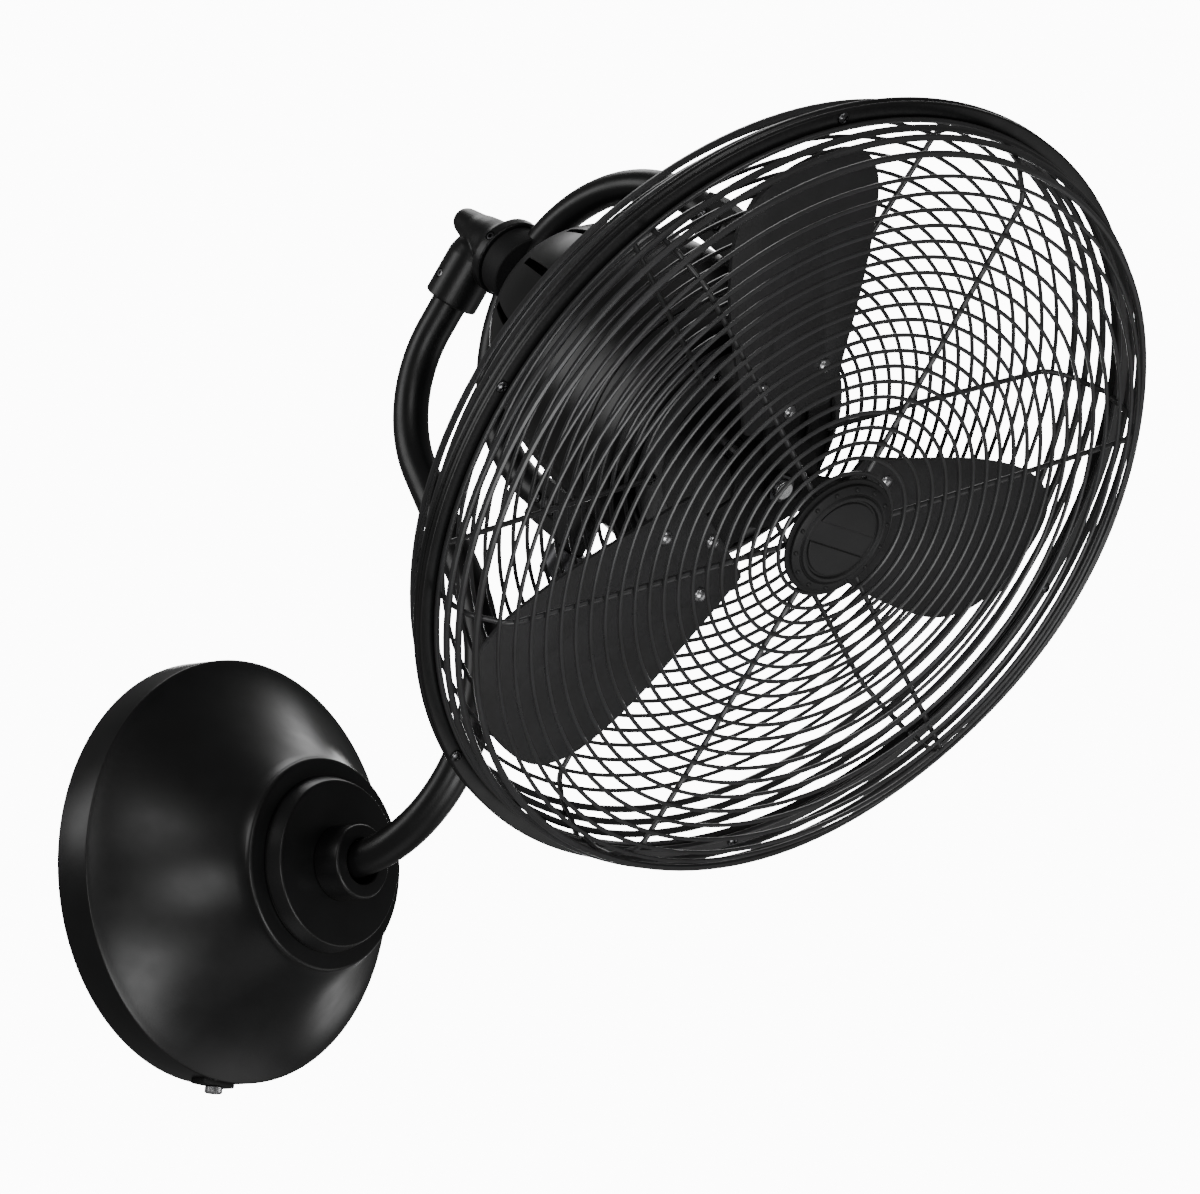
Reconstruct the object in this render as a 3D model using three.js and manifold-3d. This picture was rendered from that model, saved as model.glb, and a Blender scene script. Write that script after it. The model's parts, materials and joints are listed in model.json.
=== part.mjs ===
// Wall mounted fan: a caged head in a U-shaped yoke, on an arm bent up and back from a round canopy.
// Millimetres, +Z up. The wall is the plane y = 0 and the fan stands out of it towards -Y. The origin is
// the centre of the canopy on the wall. Head parts are placed by stations along the fan's own axis:
// station 0 is just ahead of the guard ring, positive stations are in front of it.
import * as THREE from "three";
import { mergeVertices } from "three/addons/utils/BufferGeometryUtils.js";
import Module from "manifold-3d";

const wasm = await Module();
wasm.setup();

const RAD = Math.PI / 180;
const FULL_TURN = 2 * Math.PI;

// Clearances.
const SEAT = 0.3; // between pieces that rest on each other
const RUNNING = 0.35; // radial, where one piece turns in another

// Wall bracket and canopy, measured out from the wall.
const CANOPY_R = 125;
const CANOPY_WALL = 1.6;
const RIM_HEIGHT = 24;
const BELL_TOP_R = 63.5;
const CANOPY_HEIGHT = 95;
const BELL_RIM_DRAW = 17; // the bell's two ends run on a little before they curve
const BELL_RIM_RISE = 8;
const BELL_TOP_SWELL = 13.5;
const BELL_TOP_DROP = 34;
const STEP_FILLET = 2;
const FLANGE_BASE_R = 51.5;
const FLANGE_TOP_R = 48.5;
const FLANGE_THICKNESS = 10.7;
const COLLAR_R = 21.8;
const COLLAR_HEIGHT = 18.7;
const COLLAR_RECESS_R = 13.2;
const COLLAR_RECESS_DEPTH = 15;
const STRAP_WIDTH = 26;
const STRAP_THICKNESS = 2.5;
const STRAP_SLOT_SPACING = 88;
const STRAP_SLOT_LENGTH = 16;
const STRAP_SLOT_WIDTH = 5.5;
const CABLE_HOLE_R = 11;
const CABLE_HOLE_HEIGHT = 22;
const PAD_WIDTH = 25;
const PAD_LENGTH = 12;
const PAD_THICKNESS = 2.4;
const THUMB_SHANK_R = 2.4;
const THUMB_HEAD_R = 5.3;
const THUMB_HEAD_HEIGHT = 4;
const THUMB_OUT = 17; // its distance from the wall
const LOCK_NUT_R = 17;
const LOCK_NUT_HEIGHT = 8;

// Arm: out of the canopy, round a wide bend, back over the canopy, then forward to the tee.
const ARM_R = 10.5;
const ARM_BORE_R = 8.2;
const ARM_TAIL = 14; // its length inside the canopy
const ARM_LOW_CORNER = new THREE.Vector2(-294.7, 0); // y, z
const ARM_HIGH_CORNER = new THREE.Vector2(-117.1, 273.9);
const ARM_LOW_BEND = 103.5;
const ARM_HIGH_BEND = 77.5;
const TEE_RISE = 114.1; // from the arm's high corner to the tee's centre
const HEAD_PITCH = 35.7; // degrees that the fan looks below the horizontal

// Tee, at the end of the arm.
const TEE_STATION = -307;
const SOCKET_R = 16.2;
const SOCKET_RIM = -43; // below the fan's axis
const SOCKET_FLOOR = -18;
const ARM_ENGAGED = 24;
const WIRE_WAY_R = 6;
const TEE_FLANGE_R = 24;
const TEE_FLANGE_THICKNESS = 7;
const HORN_TIP_STATION = -335.5;
const SET_SCREW_R = 2.4;
const ARM_SET_SCREW_DROP = 30;
const ARM_SET_SCREW_ANGLE = 14; // degrees round the socket, from -X towards the back
const YOKE_SET_SCREW_ANGLE = 21; // degrees round the barrel, from -X upwards
const YOKE_SET_SCREW_STATION = -283;

// Motor.
const MOTOR_R = 80.4;
const MOTOR_WALL = 2.2;
const DOME_BACK_R = 14.4;
const DOME_CENTRE = -125.4;
const DOME_LENGTH = 119.6;
const SEAM_STATION = -87;
const COVER_SHOULDER = -62;
const COVER_FACE = -54.5;
const COVER_SLOPE = 10.4; // how much narrower its face is
const COVER_FACE_R = MOTOR_R - COVER_SLOPE;
const VENT_COUNT = 12;
const VENT_STATION = -196;
const VENT_LENGTH = 37;
const VENT_WIDTH = 4.5;
const VENT_INNER_R = 30; // no vent reaches nearer the axis
const VENT_PHASE = 20; // degrees
const CORE_FRONT = -90;
const CORE_LENGTH = 23;
const CORE_BACK = CORE_FRONT - CORE_LENGTH;
const AIR_GAP = 0.8;
const ROTOR_R = 35.2;
const SHAFT_R = 6;
const SHAFT_BACK = -228;
const SHAFT_FRONT = -5;
const BEARING_R = 13;
const BEARING_WIDTH = 9;
const REAR_BEARING_STATION = -222;
const FRONT_BEARING_STATION = -72;
const BEARING_HOUSING_R = 17;

// Trunnions that carry the motor in the yoke.
const PIVOT_STATION = -124;
const KNUCKLE_R = 8.3;
const KNUCKLE_HALF_HEIGHT = 12.4; // on each side of the leg's centre line
const PIVOT_R = 4;
const PIVOT_HEAD_R = 10.5; // a round grip
const PIVOT_HEAD_HEIGHT = 18;
const PIVOT_HEAD_EDGE = 1.5;
const PIVOT_LENGTH = 32;
const EAR_R = 9;
const EAR_RISE = 1.4; // out of the motor's side
const EAR_TOP = MOTOR_R + EAR_RISE; // from the fan's axis
const EAR_FOOT_DEPTH = 7.4; // in from the motor's side
const EAR_FOOT = MOTOR_R - EAR_FOOT_DEPTH;
const EAR_GAP = 0.8;

// Yoke. Its back stays by the tee, and its legs stand clear of the motor's ears.
const YOKE_TUBE_R = 9.3;
const YOKE_BACK_STATION = -268.5; // of the tube's centre line
const YOKE_BEND = EAR_TOP + EAR_GAP + KNUCKLE_HALF_HEIGHT;
const YOKE_BEND_STATION = YOKE_BACK_STATION + YOKE_BEND;
const YOKE_END_LENGTH = 13; // from the end of a leg to the pivot
const YOKE_LEG_END = PIVOT_STATION - YOKE_END_LENGTH;
const YOKE_FORK_LENGTH = 25; // back over the leg
const YOKE_HUB_R = 22;
const YOKE_HUB_FRONT = -264;
const YOKE_HUB_BACK = -279;
const SPIGOT_R = 8;
const SPIGOT_LENGTH = 24;
const LEG_BORE_R = 7.2;
const LEG_BORE_DEPTH = 30;
const YOKE_SCREW_STATIONS = [YOKE_LEG_END - 21.5, YOKE_LEG_END - 6.5];
const YOKE_SCREW_R = 2.1;
const YOKE_SCREW_HEAD_R = 3.7;

// Guard. Its ring leads: hoops, faces and screws keep their distance from it.
const GUARD_R = 240.5;
const GUARD_WIDTH = 10.5;
const GUARD_INNER_R = GUARD_R - GUARD_WIDTH;
const GUARD_FACE = -4;
const GUARD_WALL_DEPTH = 8;
const GUARD_LIP_DEPTH = 5;
const GUARD_SHEET = 1.5;
const GUARD_SCREW_INSET = 4;
const GUARD_SCREW_CIRCLE_R = GUARD_R - GUARD_SCREW_INSET;
const GUARD_SCREW_PHASE = 31.5; // degrees
const GUARD_SCREW_R = 1.5;
const GUARD_SCREW_HEAD_R = 3.6;
const WIRE_R = 1.4;
const SPOKE_R = 1.7;
const SPOKE_COUNT = 6;
const FACE_INSET = 30;
const FACE_REACH = GUARD_INNER_R - FACE_INSET; // where the flat of the guard ends
const LAST_RING_INSET = 31.35;
const LAST_RING_R = GUARD_INNER_R - LAST_RING_INSET;
const FRONT_RINGS = 6; // every third ring of the guard
const FRONT_FIRST_RING_R = 56.9;
const FRONT_STATION = 40;
const FRONT_CROWN = 2.5; // how much the front bulges at its centre
const FRONT_DISC_R = 30;
const REAR_RINGS = 5;
const REAR_FIRST_RING_GAP = 18.3; // from the plate
const REAR_STATION = -46.5;
const REAR_DISH = 5; // how far the back sinks towards the motor
const FRONT_SEAT_OUTSET = 1.2;
const FRONT_SEAT_R = GUARD_INNER_R + FRONT_SEAT_OUTSET;
const FRONT_SHOULDER = [GUARD_INNER_R - 16, 35.5]; // radius, station
const FRONT_HOOPS = [[GUARD_INNER_R - 4.6, 27], [GUARD_INNER_R, 17], [FRONT_SEAT_R, 8]];
const REAR_SHOULDER = [GUARD_INNER_R - 14, -44];
const REAR_HOOPS = [[GUARD_INNER_R - 5, -35.5], [GUARD_INNER_R - 3, -25.5], [GUARD_INNER_R - 1, -16.4]];
const REAR_RIM_OUTSET = 3.7;
const REAR_RIM_R = GUARD_INNER_R + REAR_RIM_OUTSET;
const REAR_RIM_DROP = 4; // how far the back's spokes run straight out of the ring
const LUG_THICKNESS = 2;
const LUG_WIDTH = 11;
const GRILLE_PLATE_R = COVER_FACE_R - 3;
const GRILLE_PLATE_WIDTH = 17;
const GRILLE_PLATE_INNER_R = GRILLE_PLATE_R - GRILLE_PLATE_WIDTH;
const GRILLE_PLATE_THICKNESS = 2;
const REAR_FIRST_RING_R = GRILLE_PLATE_R + REAR_FIRST_RING_GAP;
const GRILLE_SCREW_COUNT = 5;
const GRILLE_SCREW_PHASE = 21;
const GRILLE_SCREW_INSET = 9;
const GRILLE_SCREW_CIRCLE_R = GRILLE_PLATE_R - GRILLE_SCREW_INSET;
const GRILLE_SCREW_R = 1.8;
const GRILLE_SCREW_HEAD_R = 3.6;

// Blades and what carries them.
const BLADE_COUNT = 3;
const BLADE_PHASE = 90; // degrees clockwise from the top, seen along the fan's axis from behind
const BLADE_STATION = -11.5;
const BLADE_PITCH = 8.7; // degrees
const BLADE_THICKNESS = 2.6;
const BLADE_ROOT = 44;
const BLADE_TIP_CLEARANCE = 18; // from the guard ring
const BLADE_TIP = GUARD_INNER_R - BLADE_TIP_CLEARANCE;
const BLADE_ROOT_HALF = 34;
const BLADE_END_LENGTH = 47;
const BLADE_BELLY = BLADE_TIP - BLADE_END_LENGTH; // distance out to the widest place
const BLADE_WAIST_REACH = 50; // how far the root's curves run out
const BLADE_BELLY_REACH = 40; // how far the belly's curves run in
const BLADE_TRAILING_SWELL = 10;
const BLADE_LEADING_SWELL = 11;
const BLADE_LEADING_HALF = 57;
const BLADE_TRAILING_HALF = 50;
const BLADE_CORNER = 42;
const BLADE_SCREW_IN = 49;
const BLADE_SCREW_OUT = 70.6;
const BLADE_SCREW_SPREAD = 23.6;
const BLADE_SCREW_R = 2;
const BLADE_SCREW_HEAD_R = 4.4;
const SPIDER_HUB_R = 29;
const SPIDER_THICKNESS = 2.5;
const SPIDER_BOSS_R = 14;
const SPIDER_BOSS_LENGTH = 22;
const SPIDER_ARM_HALF = 11;
const SPIDER_ARM_REACH = 79;
const SPIDER_ARM_NECK = 44;
const SPIDER_PAD_HALF = 31;
const HUB_NUT_R = 9;
const HUB_NUT_HEIGHT = 6;

// Badge.
const BADGE_R = 33;
const BADGE_PLATE_R = 36;
const BADGE_THICKNESS = 4;
const BADGE_RIM = 4;

// Facets.
const FINEST = 36;
const FINE = 28;
const ROUND = 20;
const SMALL = 10;
const SCREW = 8;
const HOOP = 24; // hoops and rings have a corner at each spoke
const SMALL_HOOP = 18;

const BLACK = { color: 0x141414, roughness: 0.45, metalness: 0.2 };
const MATTE = { color: 0x1b1b1b, roughness: 0.75, metalness: 0 };
const STEEL = { color: 0xb8babd, roughness: 0.3, metalness: 1 };
const DARK_STEEL = { color: 0x4a4c50, roughness: 0.4, metalness: 0.9 };
const COPPER = { color: 0x9a5a34, roughness: 0.4, metalness: 0.9 };

const root = new THREE.Group();

// ---- Solids ------------------------------------------------------------------------------------

function bare(geometry) {
  const copy = geometry.clone();
  copy.deleteAttribute("normal");
  copy.deleteAttribute("uv");
  return mergeVertices(copy, 1e-4);
}

function solid(geometry) {
  const merged = bare(geometry);
  const mesh = new wasm.Mesh({
    numProp: 3,
    vertProperties: new Float32Array(merged.attributes.position.array),
    triVerts: new Uint32Array(merged.index.array),
  });
  return new wasm.Manifold(mesh);
}

function geometryOf(body) {
  const mesh = body.getMesh();
  const geometry = new THREE.BufferGeometry();
  geometry.setAttribute("position", new THREE.BufferAttribute(mesh.vertProperties, 3));
  geometry.setIndex(new THREE.BufferAttribute(mesh.triVerts, 1));
  return geometry;
}

function join(...geometries) {
  return geometryOf(geometries.map(solid).reduce((all, next) => all.add(next)));
}

function cut(geometry, ...tools) {
  return geometryOf(tools.map(solid).reduce((rest, tool) => rest.subtract(tool), solid(geometry)));
}

// A solid of revolution about +Z from [radius, height] pairs that close on the axis or on themselves.
function turned(profile, segments) {
  const points = profile.map(([r, h]) => new THREE.Vector2(r, h));
  const geometry = new THREE.LatheGeometry(points, segments);
  return geometry.rotateX(Math.PI / 2);
}

// The area is positive when the profile runs anticlockwise in the (radius, height) plane.
function loop(profile) {
  const points = profile.map(([r, h]) => new THREE.Vector2(r, h));
  const ordered = THREE.ShapeUtils.area(points) > 0 ? profile : [...profile].reverse();
  return [...ordered, ordered[0]];
}

function turnedRing(profile, segments) {
  return turned(loop(profile), segments);
}

function rod(radius, from, to, segments = SMALL) {
  return turned([[0, from], [radius, from], [radius, to], [0, to]], segments);
}

function washer(inner, outer, from, to, segments = ROUND) {
  return turnedRing([[inner, from], [outer, from], [outer, to], [inner, to]], segments);
}

// A wire hoop about +Z with a three-sided section, flat towards the axis.
function hoop(radius, station, segments = HOOP, wire = WIRE_R) {
  const section = [
    [radius - wire, station - wire],
    [radius + wire, station],
    [radius - wire, station + wire],
  ];
  return turnedRing(section, segments);
}

function along(axisTurn, geometry) {
  return geometry.applyMatrix4(new THREE.Matrix4().makeRotationFromEuler(axisTurn));
}

const TO_MINUS_X = new THREE.Euler(0, -Math.PI / 2, 0);
const TO_PLUS_Y = new THREE.Euler(-Math.PI / 2, 0, 0);
const TO_MINUS_Y = new THREE.Euler(Math.PI / 2, 0, 0);

// A pan-head screw: +Z points out of its head, and z = 0 is under the head.
function screw(shankR, headR, headHeight, shankLength) {
  const profile = [
    [0, -shankLength],
    [shankR, -shankLength],
    [shankR, 0],
    [headR, 0],
    [headR * 0.92, headHeight * 0.55],
    [headR * 0.55, headHeight],
    [0, headHeight],
  ];
  return turned(profile, SCREW);
}

// A socket set screw with its hexagon opening at +Z.
function setScrew(length) {
  const hexR = SET_SCREW_R * 0.55;
  const body = rod(SET_SCREW_R, -length, 0, SMALL);
  return cut(body, rod(hexR, -length / 2, 1, 6));
}

// A round bar or pipe along points that lie in one plane whose normal is `side`.
function pipe(points, side, radius, bore = 0, sides = SMALL) {
  const positions = [];
  const indices = [];
  const radii = bore > 0 ? [radius, bore] : [radius];
  radii.forEach((r) => {
    points.forEach((point, i) => {
      const before = points[Math.max(i - 1, 0)];
      const after = points[Math.min(i + 1, points.length - 1)];
      const tangent = after.clone().sub(before).normalize();
      const normal = tangent.clone().cross(side).normalize();
      for (let k = 0; k < sides; k++) {
        const angle = (FULL_TURN * (k + 0.5)) / sides;
        const ring = side.clone().multiplyScalar(r * Math.cos(angle));
        ring.addScaledVector(normal, r * Math.sin(angle)).add(point);
        positions.push(ring.x, ring.y, ring.z);
      }
    });
  });
  const at = (layer, i, k) => (layer * points.length + i) * sides + (k % sides);
  const last = points.length - 1;
  for (let i = 0; i < last; i++) {
    for (let k = 0; k < sides; k++) {
      indices.push(at(0, i, k), at(0, i, k + 1), at(0, i + 1, k));
      indices.push(at(0, i, k + 1), at(0, i + 1, k + 1), at(0, i + 1, k));
      if (bore > 0) {
        indices.push(at(1, i, k), at(1, i + 1, k), at(1, i, k + 1));
        indices.push(at(1, i, k + 1), at(1, i + 1, k), at(1, i + 1, k + 1));
      }
    }
  }
  for (let k = 0; k < sides; k++) {
    if (bore > 0) {
      indices.push(at(0, 0, k), at(1, 0, k), at(0, 0, k + 1));
      indices.push(at(0, 0, k + 1), at(1, 0, k), at(1, 0, k + 1));
      indices.push(at(0, last, k), at(0, last, k + 1), at(1, last, k));
      indices.push(at(0, last, k + 1), at(1, last, k + 1), at(1, last, k));
    } else if (k > 1) {
      indices.push(at(0, 0, 0), at(0, 0, k), at(0, 0, k - 1));
      indices.push(at(0, last, 0), at(0, last, k - 1), at(0, last, k));
    }
  }
  const geometry = new THREE.BufferGeometry();
  geometry.setAttribute("position", new THREE.Float32BufferAttribute(positions, 3));
  geometry.setIndex(indices);
  return geometry;
}

// Points along straight runs that are joined by arcs: corners are { point, bend }, and the ends have no bend.
function bentRoute(corners, steps) {
  const route = [corners[0].point.clone()];
  for (let i = 1; i < corners.length - 1; i++) {
    const { point, bend } = corners[i];
    const back = corners[i - 1].point.clone().sub(point).normalize();
    const ahead = corners[i + 1].point.clone().sub(point).normalize();
    const half = back.angleTo(ahead) / 2;
    const centre = point.clone().addScaledVector(back.clone().add(ahead).normalize(), bend / Math.sin(half));
    const start = point.clone().addScaledVector(back, bend / Math.tan(half)).sub(centre);
    const end = point.clone().addScaledVector(ahead, bend / Math.tan(half)).sub(centre);
    const swept = start.angleTo(end);
    for (let k = 0; k <= steps; k++) {
      const t = k / steps;
      const a = Math.sin((1 - t) * swept) / Math.sin(swept);
      const b = Math.sin(t * swept) / Math.sin(swept);
      route.push(centre.clone().addScaledVector(start, a).addScaledVector(end, b));
    }
  }
  route.push(corners[corners.length - 1].point.clone());
  return route;
}

function hexagon(radius, boreR, height) {
  const shape = new THREE.Shape();
  for (let k = 0; k < 6; k++) {
    const angle = (FULL_TURN * k) / 6;
    if (k === 0) shape.moveTo(radius, 0);
    else shape.lineTo(radius * Math.cos(angle), radius * Math.sin(angle));
  }
  shape.closePath();
  shape.holes.push(new THREE.Path().absarc(0, 0, boreR, 0, FULL_TURN, true));
  return new THREE.ExtrudeGeometry(shape, { depth: height, bevelEnabled: false, curveSegments: SMALL });
}

function add(parent, name, geometry, look) {
  const mesh = new THREE.Mesh(geometry, new THREE.MeshStandardMaterial(look));
  mesh.name = name;
  parent.add(mesh);
  return mesh;
}

// Direction at `degrees` round the fan's axis: clockwise from the top as seen from behind the fan.
function spoke(degrees, radius, station) {
  return new THREE.Vector3(
    radius * Math.sin(degrees * RAD),
    radius * Math.cos(degrees * RAD),
    station,
  );
}

function repeated(count, phase, make) {
  for (let k = 0; k < count; k++) make(k + 1, phase + (360 * k) / count);
}

// ---- Canopy and arm ----------------------------------------------------------------------------

// Canopy pieces: x to the side, y up, z out of the wall.
const canopy = new THREE.Group();
canopy.rotation.x = Math.PI / 2;
root.add(canopy);

const armHole = ARM_R + RUNNING;
const flangeBack = CANOPY_HEIGHT + SEAT;
const flangeFront = flangeBack + FLANGE_THICKNESS;
const collarBack = flangeFront + SEAT;
const collarFront = collarBack + COLLAR_HEIGHT;
const shellInside = CANOPY_HEIGHT - CANOPY_WALL;
const strapReach = (CANOPY_R - CANOPY_WALL) * Math.cos(Math.PI / FINE);
const strapEnd = Math.sqrt(strapReach ** 2 - (STRAP_WIDTH / 2) ** 2) - SEAT;

function wallBracket() {
  const shape = new THREE.Shape();
  const inner = strapEnd - STRAP_THICKNESS;
  const flange = THUMB_OUT + THUMB_HEAD_R - 1;
  shape.moveTo(0, -strapEnd);
  shape.lineTo(flange, -strapEnd);
  shape.lineTo(flange, -inner);
  shape.lineTo(STRAP_THICKNESS, -inner);
  shape.lineTo(STRAP_THICKNESS, inner);
  shape.lineTo(flange, inner);
  shape.lineTo(flange, strapEnd);
  shape.lineTo(0, strapEnd);
  shape.closePath();
  // Drawn as (out of the wall, up) and extruded along x.
  const strap = new THREE.ExtrudeGeometry(shape, { depth: STRAP_WIDTH, bevelEnabled: false });
  strap.rotateY(-Math.PI / 2).translate(STRAP_WIDTH / 2, 0, 0);
  const through = STRAP_THICKNESS * 2;
  const slotEnd = (STRAP_SLOT_LENGTH - STRAP_SLOT_WIDTH) / 2;
  const slots = [-1, 1].flatMap((side) => {
    const middle = (side * STRAP_SLOT_SPACING) / 2;
    const straight = new THREE.BoxGeometry(STRAP_SLOT_WIDTH, 2 * slotEnd, through * 2);
    const ends = [-slotEnd, slotEnd].map((y) => (
      rod(STRAP_SLOT_WIDTH / 2, -through, through, 2 * SCREW).translate(0, middle + y, 0)
    ));
    return [straight.translate(0, middle, 0), ...ends];
  });
  const cable = rod(CABLE_HOLE_R, -through, through, ROUND).translate(0, CABLE_HOLE_HEIGHT, 0);
  const thread = along(TO_MINUS_Y, rod(THUMB_SHANK_R + RUNNING, 0, through * 2));
  thread.translate(0, -strapEnd + through, THUMB_OUT);
  return cut(strap, ...slots, cable, thread);
}

function canopyShell() {
  const bell = new THREE.CubicBezierCurve(
    new THREE.Vector2(CANOPY_R - 1, RIM_HEIGHT + 0.6),
    new THREE.Vector2(CANOPY_R - BELL_RIM_DRAW, RIM_HEIGHT + BELL_RIM_RISE),
    new THREE.Vector2(BELL_TOP_R + BELL_TOP_SWELL, CANOPY_HEIGHT - BELL_TOP_DROP),
    new THREE.Vector2(BELL_TOP_R, CANOPY_HEIGHT - 7),
  );
  const outer = bell.getPoints(6).map((p) => [p.x, p.y]);
  const inner = outer.map(([r, h]) => [r - CANOPY_WALL * 0.9, h - CANOPY_WALL * 0.9]).reverse();
  const stepR = BELL_TOP_R - STEP_FILLET / 2;
  const profile = [
    [CANOPY_R - CANOPY_WALL, 0],
    [CANOPY_R, 0],
    [CANOPY_R, RIM_HEIGHT - 1],
    ...outer,
    [stepR + 0.4, CANOPY_HEIGHT - STEP_FILLET],
    [stepR - STEP_FILLET, CANOPY_HEIGHT],
    [armHole, CANOPY_HEIGHT],
    [armHole, shellInside],
    [stepR - STEP_FILLET - CANOPY_WALL, shellInside],
    ...inner,
    [CANOPY_R - CANOPY_WALL, RIM_HEIGHT - 2],
  ];
  const pad = new THREE.BoxGeometry(PAD_WIDTH, PAD_THICKNESS * 2, PAD_LENGTH);
  pad.translate(0, -CANOPY_R, THUMB_OUT - 1);
  const padInside = rod(CANOPY_R - CANOPY_WALL / 2, -1, 2 * RIM_HEIGHT, FINE);
  const holeFrom = CANOPY_R - 2 * PAD_THICKNESS;
  const holeTo = CANOPY_R + 2 * PAD_THICKNESS;
  const hole = along(TO_MINUS_Y, rod(THUMB_SHANK_R + RUNNING, holeFrom, holeTo, SCREW));
  hole.translate(0, 0, THUMB_OUT);
  return cut(join(turnedRing(profile, FINE), cut(pad, padInside)), hole);
}

function mountingFlange() {
  const profile = [
    [armHole, flangeBack],
    [FLANGE_BASE_R, flangeBack],
    [FLANGE_BASE_R, flangeBack + 2],
    [FLANGE_TOP_R + 0.6, flangeFront - 0.8],
    [FLANGE_TOP_R - 0.6, flangeFront],
    [armHole, flangeFront],
  ];
  return turnedRing(profile, FINE);
}

function armCollar() {
  const bore = armHole + SEAT; // the arm starts to bend in here
  const profile = [
    [bore, collarBack],
    [COLLAR_R, collarBack],
    [COLLAR_R, collarFront - 1.5],
    [COLLAR_R - 1.5, collarFront],
    [COLLAR_RECESS_R + 0.8, collarFront],
    [COLLAR_RECESS_R, collarFront - 0.8],
    [COLLAR_RECESS_R, collarFront - COLLAR_RECESS_DEPTH],
    [bore, collarFront - COLLAR_RECESS_DEPTH],
  ];
  return turnedRing(profile, ROUND);
}

add(canopy, "wall_bracket", wallBracket(), DARK_STEEL);
add(canopy, "canopy_shell", canopyShell(), BLACK);
add(canopy, "mounting_flange", mountingFlange(), BLACK);
add(canopy, "arm_collar", armCollar(), BLACK);
const lockNut = add(canopy, "arm_lock_nut", hexagon(LOCK_NUT_R, armHole, LOCK_NUT_HEIGHT), DARK_STEEL);
lockNut.position.z = shellInside - SEAT - LOCK_NUT_HEIGHT;
const thumbHeadTop = CANOPY_R + PAD_THICKNESS + SEAT;
const thumbReach = thumbHeadTop - strapEnd + STRAP_THICKNESS + 5;
const thumb = turned([
  [0, -thumbReach],
  [THUMB_SHANK_R, -thumbReach],
  [THUMB_SHANK_R, 0],
  [THUMB_HEAD_R, 0],
  [THUMB_HEAD_R, THUMB_HEAD_HEIGHT - 0.6],
  [THUMB_HEAD_R - 0.6, THUMB_HEAD_HEIGHT],
  [0, THUMB_HEAD_HEIGHT],
], SMALL);
const thumbScrew = add(canopy, "canopy_thumb_screw", thumb, STEEL);
thumbScrew.rotation.x = Math.PI / 2;
thumbScrew.position.set(0, -thumbHeadTop, THUMB_OUT);

// The fan's axis and the direction square to it, as (y, z) pairs in the plane of the arm.
const fanAxis = new THREE.Vector2(-Math.cos(HEAD_PITCH * RAD), -Math.sin(HEAD_PITCH * RAD));
const fanUp = new THREE.Vector2(-Math.sin(HEAD_PITCH * RAD), Math.cos(HEAD_PITCH * RAD));
const teeCentre = ARM_HIGH_CORNER.clone().addScaledVector(fanUp, TEE_RISE);
const armEnd = teeCentre.clone().addScaledVector(fanUp, SOCKET_RIM + ARM_ENGAGED);
const guardCentre = teeCentre.clone().addScaledVector(fanAxis, -TEE_STATION);
const inPlane = (p) => new THREE.Vector3(0, p.x, p.y);
const SIDE = new THREE.Vector3(1, 0, 0);

const armRoute = bentRoute([
  { point: new THREE.Vector3(0, -(shellInside - ARM_TAIL), 0) },
  { point: inPlane(ARM_LOW_CORNER), bend: ARM_LOW_BEND },
  { point: inPlane(ARM_HIGH_CORNER), bend: ARM_HIGH_BEND },
  { point: inPlane(armEnd) },
], 10);
add(root, "arm_tube", pipe(armRoute, SIDE, ARM_R, ARM_BORE_R), BLACK);

// ---- Tee and yoke ------------------------------------------------------------------------------

// Head pieces: x to the side, y up and back square to the fan's axis, z along the axis to the front.
const fan = new THREE.Group();
fan.rotation.x = Math.PI / 2 + HEAD_PITCH * RAD;
fan.position.copy(inPlane(guardCentre));
root.add(fan);

const teeFlangeFront = YOKE_HUB_BACK - SEAT;
const teeFlangeBack = teeFlangeFront - TEE_FLANGE_THICKNESS;

function teeCasting() {
  const barrel = turned([
    [0, HORN_TIP_STATION],
    [4.4, HORN_TIP_STATION + 1.1],
    [7.6, HORN_TIP_STATION + 4.3],
    [8.8, HORN_TIP_STATION + 8.5],
    [9.8, TEE_STATION - 13],
    [12.4, TEE_STATION - 5],
    [14.2, TEE_STATION + 3],
    [15.4, teeFlangeBack - 10],
    [17.5, teeFlangeBack - 4.5],
    [21.5, teeFlangeBack - 1],
    [TEE_FLANGE_R, teeFlangeBack],
    [TEE_FLANGE_R, teeFlangeFront],
    [0, teeFlangeFront],
  ], ROUND);
  const socket = along(TO_PLUS_Y, turned([
    [0, SOCKET_RIM],
    [SOCKET_R, SOCKET_RIM],
    [SOCKET_R, -14],
    [13.5, -5],
    [8, 2],
    [0, 4],
  ], ROUND)).translate(0, 0, TEE_STATION);
  const socketBore = along(TO_PLUS_Y, rod(armHole, SOCKET_RIM - 1, SOCKET_FLOOR, ROUND));
  const wireWay = along(TO_PLUS_Y, rod(WIRE_WAY_R, SOCKET_FLOOR - 1, 0, SMALL));
  const spigotBore = rod(SPIGOT_R + RUNNING, YOKE_HUB_BACK - SPIGOT_LENGTH - 2, teeFlangeFront + 1, ROUND);
  socketBore.translate(0, 0, TEE_STATION);
  wireWay.translate(0, 0, TEE_STATION);
  return cut(
    join(barrel, socket),
    socketBore,
    wireWay,
    spigotBore,
    armSetScrewPlace(rod(SET_SCREW_R + RUNNING, -SOCKET_R, 1)),
    yokeSetScrewPlace(rod(SET_SCREW_R + RUNNING, -TEE_FLANGE_R, 1)),
  );
}

function armSetScrewPlace(geometry) {
  return along(TO_MINUS_X, geometry)
    .translate(-SOCKET_R, 0, 0)
    .rotateY(-ARM_SET_SCREW_ANGLE * RAD)
    .translate(0, -ARM_SET_SCREW_DROP, TEE_STATION);
}

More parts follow.
